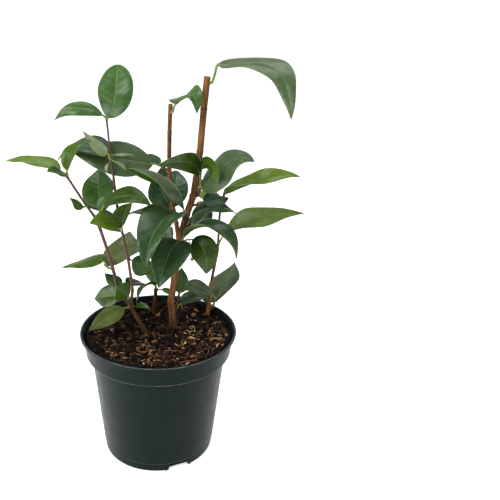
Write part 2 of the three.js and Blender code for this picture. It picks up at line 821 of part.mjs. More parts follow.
// Room of the notches, each narrower at its top by NOTCH_LEAN on both sides
function notchBoxes(grow) {
  const boxes = [];
  for (let i = 0; i < NOTCHES; i += 1) {
    const angle = NOTCH_TURN * RADIANS + (2 * Math.PI * i) / NOTCHES;
    const high = NOTCH_HEIGHT + grow + 2;
    const box = new THREE.BoxGeometry(NOTCH_DEPTH + grow + 6, NOTCH_WIDTH + 2 * grow, high);
    const corners = box.attributes.position;
    for (let k = 0; k < corners.count; k += 1) {
      if (corners.getZ(k) > 0) {
        corners.setY(k, corners.getY(k) - Math.sign(corners.getY(k)) * NOTCH_LEAN);
      }
    }
    box.translate(PLINTH_RADIUS - NOTCH_DEPTH - grow + (NOTCH_DEPTH + grow + 6) / 2, 0, high / 2 - 2);
    box.rotateZ(angle);
    boxes.push(toSolid(box));
  }
  return boxes;
}

function drainHoles() {
  const holes = [];
  for (let i = 0; i < NOTCHES; i += 1) {
    const angle = NOTCH_TURN * RADIANS + (2 * Math.PI * i) / NOTCHES;
    const hole = new THREE.CylinderGeometry(DRAIN_RADIUS, DRAIN_RADIUS, 3 * NOTCH_DEPTH, 12);
    hole.rotateZ(Math.PI / 2);
    hole.translate(PLINTH_RADIUS - NOTCH_DEPTH, 0, NOTCH_HEIGHT / 2 + 0.2);
    hole.rotateZ(angle);
    holes.push(toSolid(hole));
  }
  return holes;
}

function lathe(profile, sides) {
  const points = profile.map(([radius, height]) => new THREE.Vector2(radius, height));
  return toSolid(new THREE.LatheGeometry(points, sides).rotateX(Math.PI / 2));
}

// Height of the compost's loose surface, which is banked up toward the pot's wall
function soilHeight(x, y) {
  const broad = Math.sin(x / 11 + 1.3) * Math.cos(y / 13 - 0.4) + 0.6 * Math.sin((x - y) / 7.1 + 2.2);
  const fine = 0.45 * Math.sin(x / 2.9 + 0.7) * Math.sin(y / 3.3 + 1.9);
  const bank = SOIL_BANK * (Math.hypot(x, y) / SOIL_RADIUS) ** 4;
  return SOIL_TOP + SOIL_LUMP * (broad + fine) * 0.6 + bank;
}

function buildSoil() {
  const bandFoot = POT_HEIGHT - BAND_HEIGHT;
  const side = [
    [PLINTH_RADIUS - WALL - 0.3 - FLOOR_SLOPE - GAP, FLOOR + GAP],
    [PLINTH_RADIUS - WALL - 0.3 - GAP, FLOOR + FLOOR_SLOPE + GAP],
    [BODY_FOOT_RADIUS - WALL - GAP, PLINTH_HEIGHT],
    [BODY_TOP_RADIUS - WALL - GAP, bandFoot + 0.8],
    [BAND_FOOT_RADIUS - WALL - GAP, bandFoot + 2.4],
  ];
  const ringAt = (radius, height) => {
    const ring = [];
    for (let k = 0; k < SOIL_SIDES; k += 1) {
      const angle = (2 * Math.PI * k) / SOIL_SIDES;
      const x = radius * Math.cos(angle);
      const y = radius * Math.sin(angle);
      ring.push(new THREE.Vector3(x, y, height ?? soilHeight(x, y)));
    }
    return ring;
  };
  const rings = [
    ...side.map(([radius, height]) => ringAt(radius, height)),
    ringAt(SOIL_RADIUS, null),
    ...SOIL_RINGS.slice().reverse().map((part) => ringAt(SOIL_RADIUS * part, null)),
  ];
  const top = new THREE.Vector3(0, 0, soilHeight(0, 0));
  return toSolid(skin(rings, new THREE.Vector3(0, 0, FLOOR + GAP), top));
}

const COLOURS = {
  pot: ['#303c3c', 0.42],
  compost: ['#3a2a20', 0.95],
  main: ['#94684a', 0.75],
  second: ['#8a5f42', 0.75],
  left: ['#6d4438', 0.7],
  inner: ['#6a3f38', 0.65],
  right: ['#9a5f34', 0.7],
  short: ['#7a5238', 0.8],
  leafOld: ['#38583f', 0.35],
  leafYoung: ['#4b7326', 0.35],
  leafMid: ['#44703e', 0.3],
};
const YOUNG = ['right_crown', 'left_tip_spray', 'left_low_leaf', 'inner_middle_spray', 'left_middle_spray'];
const MIDDLING = ['inner_crown', 'second_top_leaf', 'left_foot_spray', 'short_spray', 'short_low_leaf'];

const plant = new THREE.Group();
plant.name = 'camellia';

function addMesh(name, solid, [colour, roughness]) {
  const material = new THREE.MeshStandardMaterial({ color: colour, roughness, metalness: 0 });
  material.flatShading = true;
  const mesh = new THREE.Mesh(toGeometry(solid), material);
  mesh.name = name;
  plant.add(mesh);
}

// The room a stem takes in what it stands in or leaves: the stem itself, CLEAR thicker all round
function stemRoom(lines, name) {
  return stemBar(lines[name], STEMS[name].thick, CLEAR, STEM_SIDES);
}

function addStems(lines) {
  for (const [name, stem] of Object.entries(STEMS)) {
    let solid = stemBar(lines[name], stem.thick, 0, STEM_SIDES);
    if (stem.fork) {
      solid = solid.subtract(stemRoom(lines, stem.fork[0]));
    }
    addMesh(`${name}_stem`, solid, COLOURS[name]);
  }
}

function addShoots(lines) {
  for (const shoot of layShoots(lines)) {
    let colour = COLOURS.leafOld;
    if (YOUNG.includes(shoot.name)) {
      colour = COLOURS.leafYoung;
    } else if (MIDDLING.includes(shoot.name)) {
      colour = COLOURS.leafMid;
    }
    addMesh(shoot.name, shootSolid(shoot), colour);
  }
}

const stemLines = growStems();
const rooted = Object.keys(STEMS).filter((name) => STEMS[name].foot);
const sockets = rooted.map((name) => stemRoom(stemLines, name));
const hollows = joined([...notchBoxes(WALL + GAP), ...sockets]);

addMesh('pot', buildPot(), COLOURS.pot);
addMesh('compost', buildSoil().subtract(hollows), COLOURS.compost);
addStems(stemLines);
addShoots(stemLines);

export default plant;
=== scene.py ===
import math
from itertools import product

import bpy
import numpy as np
from mathutils import Matrix, Quaternion, Vector, noise


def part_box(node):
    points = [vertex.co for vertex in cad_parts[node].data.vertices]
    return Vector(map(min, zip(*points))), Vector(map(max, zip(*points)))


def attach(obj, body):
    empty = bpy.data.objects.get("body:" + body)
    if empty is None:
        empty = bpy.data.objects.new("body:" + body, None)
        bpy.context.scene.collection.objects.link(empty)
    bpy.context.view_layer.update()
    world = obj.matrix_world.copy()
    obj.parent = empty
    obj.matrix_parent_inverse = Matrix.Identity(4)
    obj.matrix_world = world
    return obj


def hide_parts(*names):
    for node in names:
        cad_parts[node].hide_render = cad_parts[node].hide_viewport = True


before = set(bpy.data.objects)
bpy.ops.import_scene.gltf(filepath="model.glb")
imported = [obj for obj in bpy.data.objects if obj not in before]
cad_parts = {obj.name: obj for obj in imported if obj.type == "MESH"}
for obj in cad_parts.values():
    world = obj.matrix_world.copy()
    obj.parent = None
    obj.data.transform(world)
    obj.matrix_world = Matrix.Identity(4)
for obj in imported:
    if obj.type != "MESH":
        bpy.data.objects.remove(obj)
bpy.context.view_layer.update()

# Young camellia in a nursery pot. The plant's own sizes are in millimetres, and pieces are made in metres.
MM = 0.001
SEED = 4127

# Pot, read from the frame where it can be
POT_LOW, POT_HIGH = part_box("pot")
RIM_RADIUS = (POT_HIGH.x - POT_LOW.x) / 2 / MM
POT_HEIGHT = (POT_HIGH.z - POT_LOW.z) / MM
LIP_HEIGHT = 2.2
LIP_WIDTH = 2.4
BAND_HEIGHT = 21
BAND_FOOT = POT_HEIGHT - BAND_HEIGHT
BAND_TOP_RADIUS = RIM_RADIUS - 3
BAND_FOOT_RADIUS = RIM_RADIUS - 5
BODY_TOP_RADIUS = 64.7
BODY_FOOT_RADIUS = 54.8
PLINTH_RADIUS = 53.6
PLINTH_HEIGHT = 9.5
BASE_ROUND = 2.6
WALL = 1.8
FLOOR = 2
FLOOR_SLOPE = 2
FLOOR_RADIUS = PLINTH_RADIUS - WALL - 0.3
POT_SIDES = 200
ROUND_STEPS = 5
NOTCHES = 3
NOTCH_WIDTH = 23
NOTCH_LEAN = 3.2
NOTCH_HEIGHT = 7.3
NOTCH_DEPTH = 6
NOTCH_TURN = -69.5
DRAIN_RADIUS = 3

# Compost, and what lies on it
GAP = 0.35
SOIL_TOP = 121.6
SOIL_BANK = 2.4
SOIL_RADIUS = BAND_TOP_RADIUS - WALL - 2 * GAP
SOIL_RINGS = 76
SOIL_SIDES = 360
CRUMBS = 4300
SPECKS = 70
SPECK_DROP = 60
CHIP_TRIES = 520
FIBRES = 260
SPLINTER_ROWS = 7

# Stems and leaves
SINK = 12
CLEAR = 0.3
NODE_SWELL = 1.1
NODE_BULGE = 0.07
NODE_NECK = 0.04
BUD_LUMP = 0.16
BUD_FOCUS = 2.2
BUD_TURN = 2.4
TWIG_BULGE = 0.18
TWIG_TAPER = 0.25
FOOT_FLARE = 0.12
FORK_FLARE = 0.45
BARK_DEPTH = 0.05
TWIG_DEPTH = 0.035
STEM_SIDES = 28
TWIG_SIDES = 16
STALK_RADIUS = 1
STALK_STEPS = 3
STALK_SIDES = 12
BUD_SIDES = 10
STATIONS = (0.05, 0.17, 0.32, 0.47, 0.62, 0.77, 0.9)
BLADE_ROWS = 56
HALF_BLADE = (0.024, 0.13, 0.26, 0.4, 0.54, 0.68, 0.81, 0.92, 1)
VEINS = 8
VEIN_SLANT = 0.16
TOOTH = 1.02
BLADE_ARCH = 0.16
MARGIN_DIP = 0.05
SWAY = 0.009
PUCKER = 0.08
PUCKER_SHARE = 0.004
MIDRIB_KEEL = 0.75
VEIN_KEEL = 0.12
LEAF_THICK = 0.45

# Ripples along a leaf's margin, then how dealt leaves find room: their tries, the swing of each try, how far
# they stay from other leaves and from stems, and the step between the places looked at along a stem
RIPPLES = 1.4
DEAL_TRIES = 8
DEAL_SWING = 9
LEAF_ROOM = 5.5
STEM_ROOM = 6
LIMB_STEP = 4

# Camera, on the photo's angle: 22 degrees down and a little to the right of straight ahead
CAMERA_PLACE = Vector((0, -0.601, 0.4555))
CAMERA_DOWN = 22.2
CAMERA_TURN = 7.45
LENS = 50

# Studio: how far the floor reaches, the share of it where it starts to rise, how far it rises, and how
# strongly the floor and the surround glow
FLOOR_REACH = 16000
COVE_START = 0.9
COVE_RISE = 0.16
FLOOR_GLOW = 0.66
SKY = 0.38


def direction(turn, rise):
    """Unit vector from a compass turn (0 = +X, 90 = +Y) and a rise above level, both in degrees"""
    t = np.radians(turn)
    r = np.radians(rise)
    return np.stack([np.cos(r) * np.cos(t), np.cos(r) * np.sin(t), np.sin(r) + 0 * t], axis=-1)


class Dice:
    """Seeded numbers from 0 to 1"""

    def __init__(self, seed):
        self.state = seed

    def __call__(self):
        self.state = (self.state * 1664525 + 1013904223) % 4294967296
        return (self.state >> 8) / 16777216


def leaf(at, turn, rise, long, wide, droop, **more):
    """A leaf's place on its shoot, its turn and rise there, its length, width, droop and what else it has"""
    return dict(at=at, turn=turn, rise=rise, long=long, wide=wide, droop=droop, **more)


def shoot_on(on, at, steps, thick, look, *leaves, dealt=()):
    """A shoot on the stem `on`, at a height or, where `at` is None, at the stem's tip: its steps and radius,
    its look, its leaves, and the turns of the leaves dealt to it. The look is the slot of its blades, then
    the tint of each leaf, the last one for all that follow."""
    return dict(on=on, at=at, steps=steps, thick=thick, look=look, leaves=leaves, dealt=dealt)


# What a leaf has where its shoot says nothing else. It leaves its stem at `turn` and `rise`, bends down by
# `droop` over the share `hang` of its length and sideways by `sweep` over all of it, and is tipped to one
# side by `roll`, and by `twist` more at its tip. `fold` lifts both halves from the midrib. `wave` is how far
# its margins ripple, and `beat` shifts the ripple along it.
LEAF = dict(bend=1.5, hang=1, sweep=0, roll=0, twist=0, fold=12, stalk=7, belly=0.78, point=0.3,
            blunt=0.8, wave=0, beat=0)

# Stems: `foot` is where the stem leaves the compost, or `fork` names the stem and height it leaves.
# Each step is one internode: its length, turn and rise. `thick` gives the radius at heights along it.
STEMS = {
    "main": dict(
        foot=(14.8, 13, SOIL_TOP),
        steps=[(29, 180, 83), (26, -15, 82), (39, -14, 84), (28, -17, 76), (19, -10, 72),
               (17, -25, 82), (26, -18, 83), (38, -22, 86), (28, -24, 85)],
        thick=[(-12, 4.8), (0, 3.8), (14, 3.3), (95, 3.2), (250, 2.9)],
    ),
    "second": dict(
        fork=("main", 94),
        steps=[(17, 115, 67), (24, 120, 67), (31, 108, 78), (30, 87, 84), (26, 53, 87)],
        thick=[(0, 2.1), (128, 2)],
    ),
    "left": dict(
        foot=(-12.4, 2, SOIL_TOP),
        steps=[(32, 171, 62), (24, -170, 61), (32, -145, 77), (31, -152, 74), (15, -158, 69)],
        thick=[(-12, 2.8), (0, 2.2), (30, 1.8), (134, 1.4)],
    ),
    "inner": dict(
        fork=("left", 32),
        steps=[(17, 43, 80), (30, 143, 81), (23, 154, 78), (30, 169, 80), (26, 180, 85), (10, 180, 83)],
        thick=[(0, 1.5), (136, 1.1)],
    ),
    "right": dict(
        foot=(49, 35, SOIL_TOP),
        steps=[(45, -16, 85), (30, 0, 81)],
        thick=[(-12, 2.5), (0, 2.1), (30, 1.7), (75, 1.4)],
    ),
    "short": dict(
        foot=(-5.3, 42, SOIL_TOP),
        steps=[(26, 0, 86)],
        thick=[(-12, 2.4), (0, 2.1), (26, 1.9)],
    ),
}


SHOOTS = dict(
    top_leaf=shoot_on(
        "main", 245, [(9, -10, 74), (6, -10, 80)], 1.1, "mature grey",
        leaf(15, -2, 10, 102, 38, 62, bend=2.6, hang=0.67, sweep=-94, roll=3, twist=23, fold=4, stalk=2,
             belly=0.39, point=0.2, wave=0.96, beat=-0.1),
    ),
    upper_spray=shoot_on(
        "main", 143, [(8, -40, 75)], 1.4, "mature olive mid grey deep",
        leaf(8, -114, 69, 63, 19, 72, bend=0.4, sweep=-28, roll=-86, fold=16, stalk=16, belly=0.53,
             point=-0.3),
        leaf(8, -66, 71, 39, 13, 166, bend=1, sweep=5, roll=-59, twist=-49, fold=6, stalk=18, belly=0.97,
             point=-0.3),
        leaf(2, -27, 50, 64, 38, 101, bend=4.3, sweep=4, roll=50, twist=-20, fold=-5, stalk=6),
        dealt=[75],
    ),
    right_leaf=shoot_on(
        "main", 133, [(3, 0, 40)], 1.1, "mature blue",
        leaf(2, 30, -5, 30, 19, -5, bend=0.5, sweep=5, roll=40, twist=-20, fold=5),
    ),
    middle_spray=shoot_on(
        "main", 109, [(4, 20, 55)], 1.2, "mature deep",
        leaf(4, 5, 65, 55, 27, 115, bend=0.7, sweep=10, roll=5, fold=7, stalk=6),
        leaf(2, 60, -30, 45, 26, -55, bend=0.4, sweep=10, roll=-15, fold=9, stalk=6),
        dealt=[140],
    ),
    front_spray=shoot_on(
        "main", 119, [(5, -110, 60)], 1.3, "mature deep grey",
        leaf(5, -120, 16, 83, 40, 99, bend=1.6, sweep=6, fold=26, stalk=6),
        leaf(2, 200, 97, 72, 40, 108, bend=0.8, sweep=-34, roll=-29, twist=76, fold=-25, stalk=8,
             belly=1, point=0),
    ),
    low_spray=shoot_on(
        "main", 91, [(6, -70, 60)], 1.3, "mature deep olive deep",
        leaf(6, -27, 54, 72, 33, 143, bend=1.1, sweep=-6, roll=-5, fold=19),
        leaf(6, -40, 10, 39, 27, 115, bend=0.6, sweep=-5, roll=30, fold=13, stalk=14),
        leaf(3, -109, 26, 66, 37, 80, bend=0.7, sweep=-1, roll=-5, twist=-20, fold=15, stalk=8),
    ),
    fork_leaf=shoot_on(
        "main", 80, [(3, 130, 40)], 1, "mature deep",
        leaf(2, 105, 15, 35, 22, 15, bend=1.6, sweep=-5, roll=-60, twist=20, fold=18),
    ),
    foot_spray=shoot_on(
        "main", 17, [(15, 45, 75)], 1.2, "mature grey mid deep",
        leaf(15, 0, 50, 41, 20, 115, bend=0.7, sweep=-5, roll=15, twist=-10, fold=5, stalk=8),
        leaf(13, 45, 70, 27, 18, -30, bend=1.3, roll=20, fold=11, stalk=5),
        leaf(2, 35, 20, 37, 18, 85, roll=10, fold=15, stalk=6),
        dealt=[110],
    ),
    second_top_leaf=shoot_on(
        "second", 121, [(3, -60, 60)], 1.1, "middle mid",
        leaf(3, -74, 25, 55, 27, 115, bend=5.5, hang=0.86, sweep=18, roll=19, twist=-6, fold=17,
             stalk=11, belly=0.89, point=0.5, wave=-2.8, beat=0.54),
    ),
    back_leaf=shoot_on(
        "second", 68, [(3, 180, 40)], 1.1, "mature grey deep",
        leaf(2, 193, 10, 75, 35, 8, bend=1.3, sweep=-33, roll=-59, twist=15, fold=6, stalk=11,
             belly=0.83, point=0.4),
        dealt=[130],
    ),
    second_low_spray=shoot_on(
        "second", 20, [(5, 120, 60)], 1.1, "mature deep blue",
        leaf(4, 115, 35, 48, 33, -15, sweep=-25, roll=-20, fold=5, stalk=8),
        leaf(5, 80, 50, 48, 26, 55, bend=2.1, sweep=5, roll=15, fold=7, stalk=8),
        dealt=[165],
    ),
    left_low_leaf=shoot_on(
        "left", 78, [(3, 180, 40)], 1, "young lime",
        leaf(2, 135, 25, 51, 24, 49, bend=0.4, hang=0.45, sweep=34, roll=-21, twist=24, fold=-8,
             belly=0.63, point=-0.1, wave=-0.2, beat=0.49),
    ),
    left_foot_spray=shoot_on(
        "left", 31, [(12, -110, 80)], 1.2, "middle dull mid",
        leaf(2, -145, -5, 40, 18, 20, bend=0.7, roll=-30, twist=-10, fold=7, stalk=6),
        leaf(12, -110, 45, 33, 21, 25, bend=2.3, sweep=-5, roll=60, twist=15, fold=17, stalk=3),
    ),
    left_back_spray=shoot_on(
        "left", 42, [(9, 95, 75)], 1.1, "mature olive mid deep",
        leaf(2, 150, -20, 40, 23, 10, bend=2.1, sweep=-20, roll=-55, twist=-10, fold=13, stalk=4),
        leaf(9, 150, 15, 21, 15, -20, bend=1.6, sweep=-5, roll=-15, fold=6, stalk=4),
        leaf(8, 50, 10, 26, 21, 55, bend=0.9, sweep=-5, roll=5, fold=11, stalk=5),
        dealt=[100],
    ),
    left_middle_spray=shoot_on(
        "left", 131, [(5, 20, 60)], 1.1, "young mid olive mid",
        leaf(5, 102, 30, 50, 31, 5, bend=1.1, sweep=-15, roll=-25, twist=20, fold=9, stalk=6),
        leaf(4, -25, 50, 51, 25, 85, bend=1.1, roll=25, fold=10, stalk=8),
        leaf(2, 46, 60, 20, 13, 30, roll=20, stalk=4),
        dealt=[85],
    ),
    left_tip_spray=shoot_on(
        "left", None, [(15, -165, 58), (29, -159, 61)], 1.1, "young grey fresh lime mid",
        leaf(11, -117, -3, 25, 9, -54, bend=0.4, sweep=-7, roll=80, twist=45, fold=6, stalk=5,
             belly=1.02, point=0.6),
        leaf(44, 154, 16, 50, 30, 22, bend=1, sweep=18, roll=6, twist=-16, fold=14, stalk=8, belly=0.79,
             point=0.6, wave=-0.5, beat=0.44),
        leaf(44, 40, 90, 38, 18, 95, bend=1, sweep=-10, roll=5, twist=-10, fold=18, stalk=5),
        leaf(44, -120, 30, 25, 13, 25, roll=-35, fold=10, stalk=3),
        dealt=[45],
    ),
    inner_crown=shoot_on(
        "inner", None, [(9, 180, 83), (25, 180, 86), (10, 180, 85)], 0.9,
        "middle mid mid pale pale pale pale blue",
        leaf(44, 76, -9, 60, 31, -65, bend=0.5, hang=0.56, sweep=11, roll=20, twist=-32, fold=5, stalk=5,
             belly=1.3, point=-0.1, blunt=0.55, wave=0.7, beat=0.21),
        leaf(44, -163, 36, 46, 15, 90, bend=1.1, sweep=-20, roll=-34, twist=-30, fold=-2, stalk=5,
             belly=0.79, point=0.6, wave=0.5, beat=0.38),
        leaf(11, -166, 27, 30, 11, -26, bend=0.4, sweep=16, roll=-88, fold=19, stalk=4, belly=0.56),
        leaf(11, 10, 5, 17, 9, 20, fold=0, stalk=4, point=0),
        leaf(7, -135, -45, 9, 4, 75, bend=1.2, fold=10, stalk=4),
        leaf(7, -25, -15, 14, 7, 50, fold=10, stalk=4),
        leaf(5, 148, 48, 65, 32, 103, bend=0.7, sweep=5, roll=-15, fold=11, stalk=6),
    ),
    inner_middle_spray=shoot_on(
        "inner", 75, [(4, -95, 60)], 1, "young fresh",
        leaf(4, -120, 55, 44, 25, 50, bend=0.5, sweep=-15, roll=-45, fold=13, stalk=3),
        leaf(4, -50, 85, 35, 21, 65, bend=1.4, fold=19, stalk=3),
    ),
    inner_low_spray=shoot_on(
        "inner", 45, [(3, 90, 50)], 1, "mature dull mid",
        leaf(3, 105, -10, 54, 48, -50, bend=1.8, sweep=-30, roll=-30, twist=45, fold=-5, stalk=2),
        leaf(2, 25, -45, 28, 21, -45, bend=1.1, sweep=-5, roll=50, twist=40, fold=-3, stalk=4),
    ),
    right_foot_leaf=shoot_on(
        "right", 8, [(3, 30, 50)], 1.1, "mature grey deep",
        leaf(3, 53, 53, 60, 38, 33, bend=0.5, hang=0.6, sweep=15, roll=-21, fold=8, stalk=4, belly=0.94,
             point=0.7, wave=-1.7, beat=0.53),
        dealt=[110],
    ),
    right_crown=shoot_on(
        "right", None, [(37, 0, 89), (23, 0, 80)], 1.2, "young fresh",
        leaf(4, 37, 39, 103, 37, 51, bend=0.4, hang=1.12, sweep=-20, roll=-12, twist=50, fold=6,
             stalk=13, belly=0.98, point=0.8, wave=3.6, beat=0.28),
        leaf(58, 4, 22, 76, 34, 48, bend=4, sweep=-7, roll=-26, twist=100, fold=22, stalk=2, belly=0.35,
             point=0.4, wave=-1.6, beat=0.27),
        dealt=[150, 110],
    ),
    short_spray=shoot_on(
        "short", None, [(3, 0, 86)], 1, "middle mid",
        leaf(2, -140, 65, 37, 15, 165, bend=0.7, roll=25, twist=10, fold=17, stalk=5),
        leaf(2, 0, -15, 17, 11, 40, bend=1.6, roll=10, fold=8, stalk=6),
        dealt=[95],
    ),
    short_low_leaf=shoot_on(
        "short", 5, [(2, -155, 40)], 0.9, "middle fresh",
        leaf(1, -140, 45, 19, 10, 50, bend=1, roll=-20, fold=7, stalk=4),
    ),
)

# Shoots whose twig is still green, and those with no bud at its end
GREEN_TWIGS = ("top_leaf", "second_top_leaf", "left_low_leaf")
BUDLESS = ("top_leaf", "second_top_leaf")

# Shoot, and place in its list, of the leaf whose stalk a dried bud hangs from
DRIED_BUD_LEAF = ("low_spray", 1)


def look_up(table, at):
    places, values = zip(*table)
    return np.interp(at, places, values)


def walk(start, steps, sink=0):
    """A line walked from its start: points with the distance of each along it"""
    line = [(0.0, np.array(start, float))]
    for length, turn, rise in steps:
        at, point = line[-1]
        line.append((at + length, point + direction(turn, rise) * length))
    if sink:
        line.insert(0, (-sink, line[0][1] - direction(*steps[0][1:]) * sink))
    return line


def point_on(line, at):
    i = 0
    while i < len(line) - 2 and at > line[i + 1][0]:
        i += 1
    (a, p), (b, q) = line[i], line[i + 1]
    return p + (q - p) * ((at - a) / (b - a))


def grow_stems():
    grown = {}
    for name, stem in STEMS.items():
        if "foot" in stem:
            grown[name] = walk(stem["foot"], stem["steps"], SINK)
        else:
            carrier, height = stem["fork"]
            grown[name] = walk(point_on(grown[carrier], height), stem["steps"])
    return grown


def outline(s, own):
    """Half width of a leaf at part `s` of its length, as a share of its half width"""
    return np.sin(np.pi * s ** own["belly"]) ** own["blunt"] * (1 - own["point"] * s ** 3)


def rise_along(own, s):
    """How far above level a leaf points at parts `s` of its length"""
    return own["rise"] - own["droop"] * np.minimum(s / own["hang"], 1) ** own["bend"]


def lay_leaf(foot, given):
    """Where a leaf lies: its stalk, then the stations of its midrib and edges"""
    own = {**LEAF, **given}
    at = np.array(foot, float)
    stalk = [at]
    for i in range(STALK_STEPS):
        lift = min(own["rise"] + 30 * (1 - (i + 0.5) / STALK_STEPS), 88)
        at = at + direction(own["turn"], lift) * own["stalk"] / STALK_STEPS
        stalk.append(at)
    stops = np.array([0, *STATIONS, 1])
    middle = [at]
    for a, b in zip(stops, stops[1:]):
        half_way = (a + b) / 2
        turn = own["turn"] + own["sweep"] * half_way
        at = at + direction(turn, rise_along(own, half_way)) * own["long"] * (b - a)
        middle.append(at)
    middle = np.array(middle)
    _, face, span = leaf_frame(own, stops)
    half = own["wide"] / 2 * outline(stops, own)[:, None]
    fold = math.radians(own["fold"])
    out = half * math.cos(fold)
    height = half * math.sin(fold)
    ripple = leaf_ripple(own, stops)[:, None]
    edges = [middle + span * sign * out + face * (height + sign * ripple) for sign in (-1, 1)]
    return dict(leaf=own, stalk=stalk, stops=stops, middle=middle, edges=edges)


def leaf_frame(own, s):
    """Directions at parts `s` of a leaf: along its midrib, out of its upper face, and across it"""
    rise = rise_along(own, s)
    turn = own["turn"] + own["sweep"] * s
    along = direction(turn, rise)
    up = direction(turn, rise + 90)
    side = np.cross(along, up)
    tip = np.radians(own["roll"] + own["twist"] * s)[..., None]
    return along, up * np.cos(tip) + side * np.sin(tip), side * np.cos(tip) - up * np.sin(tip)


def leaf_ripple(own, s):
    return own["wave"] * np.sin(2 * np.pi * (RIPPLES * s + own["beat"])) * np.sin(np.pi * s)


def shoot_line(shoot, lines):
    """Line of a shoot's own twig or spur, which starts CLEAR of the stem that carries it"""
    line = lines[shoot["on"]]
    turn, rise = shoot["steps"][0][1:]
    if shoot["at"] is None:
        return walk(line[-1][1] + direction(turn, rise) * CLEAR, shoot["steps"])
    along = point_on(line, shoot["at"] + 1) - point_on(line, shoot["at"] - 1)
    along = along / np.linalg.norm(along)
    away = direction(turn, 0)
    away = away - along * (away @ along)
    away = away / np.linalg.norm(away)
    radius = look_up(STEMS[shoot["on"]]["thick"], shoot["at"]) * NODE_SWELL
    return walk(point_on(line, shoot["at"]) + away * (radius + CLEAR + shoot["thick"]), shoot["steps"])


def leaf_points(laid, first):
    return np.concatenate([laid["middle"][first:], laid["edges"][0][first:], laid["edges"][1][first:]])


def nearest(points, others):
    return math.sqrt(((points[:, None] - others[None]) ** 2).sum(2).min())


def lay_shoots(lines):
    """Leaves of every shoot: the ones listed, then the ones dealt. A dealt leaf is turned a little further
    each time it comes too near another leaf or a stem, and left out after the last try."""
    limbs = np.array([point_on(line, at) for line in lines.values()
                      for at in np.arange(line[0][0], line[-1][0] + 1e-6, LIMB_STEP)])
    shoots = []
    for i, (name, shoot) in enumerate(SHOOTS.items()):
        roll = Dice(SEED + 97 * i)
        line = shoot_line(shoot, lines)
        laid = []
        for given in shoot["leaves"]:
            vary = dict(wave=given["long"] * (0.004 + 0.014 * roll()))
            vary["beat"] = roll()
            laid.append(lay_leaf(point_on(line, given["at"]), {**vary, **given}))
        shoots.append(dict(name=name, shoot=shoot, line=line, laid=laid, roll=roll))
    for one in shoots:
        reach = one["line"][-1][0]
        for toward in one["shoot"]["dealt"]:
            for attempt in range(DEAL_TRIES):
                laid = deal_leaf(one, reach, toward, attempt)
                taken = np.concatenate([leaf_points(q, 0) for other in shoots for q in other["laid"]])
                apart = nearest(leaf_points(laid, 3), taken) > LEAF_ROOM
                if apart and nearest(leaf_points(laid, 2), limbs) > STEM_ROOM:
                    one["laid"].append(laid)
                    break
    return shoots


def deal_leaf(one, reach, toward, attempt):
    """A leaf toward the turn given, swung to alternate sides by further tries"""
    roll = one["roll"]
    swing = (1 if attempt % 2 == 0 else -1) * DEAL_SWING * attempt
    long = 38 + 20 * roll()
    given = dict(
        at=reach * (0.3 + 0.5 * roll()), turn=toward + swing + 12 * (roll() - 0.5), rise=2 + 22 * roll(),
        long=long, wide=long * (0.44 + 0.08 * roll()), droop=30 + 40 * roll(), roll=24 * (roll() - 0.5),
        fold=8 + 8 * roll(), stalk=6, wave=long * 0.012, beat=roll(),
    )
    return lay_leaf(point_on(one["line"], given["at"]), given)


class Heap:
    """Points and faces gathered for one piece, in millimetres, with a material number for each face"""

    def __init__(self):
        self.points = []
        self.faces = []
        self.kinds = []
        self.count = 0

    def add(self, points, faces, kinds):
        faces = [np.asarray(f) for f in faces]
        for block, kind in zip(faces, kinds):
            self.faces.extend((block + self.count).tolist())
            self.kinds.extend(np.broadcast_to(kind, len(block)).tolist())
        self.points.append(np.asarray(points))
        self.count += len(points)

    def add_round(self, rings, ends, kinds):
        """Closed round body of rings with a point at each end. The kinds are of its side and its ends."""
        rows, sides = len(rings), len(rings[0])
        here = np.arange(sides)
        after = (here + 1) % sides
        centre = np.full(sides, rows * sides)
        top = (rows - 1) * sides
        first = np.stack([centre, after, here], axis=1)
        last = np.stack([centre + 1, top + here, top + after], axis=1)
        self.add(np.concatenate([*rings, ends]), [grid_faces(rows, sides, True), first, last], kinds)

    def piece(self, name, materials, sharp=50, smooth=True):
        mesh = bpy.data.meshes.new(name)
        mesh.from_pydata((np.concatenate(self.points) * MM).tolist(), [], self.faces)
        for surface in materials:
            mesh.materials.append(surface)
        mesh.polygons.foreach_set("material_index", self.kinds)
        mesh.polygons.foreach_set("use_smooth", [smooth] * len(mesh.polygons))
        if smooth:
            mesh.set_sharp_from_angle(angle=math.radians(sharp))
        mesh.update()
        piece = bpy.data.objects.new(name, mesh)
        bpy.context.scene.collection.objects.link(piece)
        return piece


def grid_faces(rows, columns, closed):
    """Faces between neighbouring rows of points, going round where the rows are closed rings"""
    i, j = np.meshgrid(np.arange(rows - 1), np.arange(columns if closed else columns - 1), indexing="ij")
    k = (j + 1) % columns
    corners = [i * columns + j, i * columns + k, (i + 1) * columns + k, (i + 1) * columns + j]
    return np.stack(corners, axis=-1).reshape(-1, 4)


def around(sides):
    """Angles of points spread evenly round a circle"""
    return 2 * np.pi * np.arange(sides) / sides


def ring(radius, height, sides):
    """Points spread evenly round the pot's axis"""
    angles = around(sides)
    return np.column_stack([radius * np.cos(angles), radius * np.sin(angles), np.full(sides, float(height))])


def midrib(laid, s):
    """Points of a leaf's midrib at parts `s` of its length, on a smooth curve through its stations"""
    stops = laid["stops"]
    values = laid["middle"]
    slopes = leaf_frame(laid["leaf"], stops)[0] * laid["leaf"]["long"]
    i = np.clip(np.searchsorted(stops, s, side="right") - 1, 0, len(stops) - 2)
    step = stops[i + 1] - stops[i]
    u = ((s - stops[i]) / step)[..., None]
    step = step[..., None]
    return ((2 * u ** 3 - 3 * u ** 2 + 1) * values[i] + (u ** 3 - 2 * u ** 2 + u) * step * slopes[i]
            + (3 * u ** 2 - 2 * u ** 3) * values[i + 1] + (u ** 3 - u ** 2) * step * slopes[i + 1])


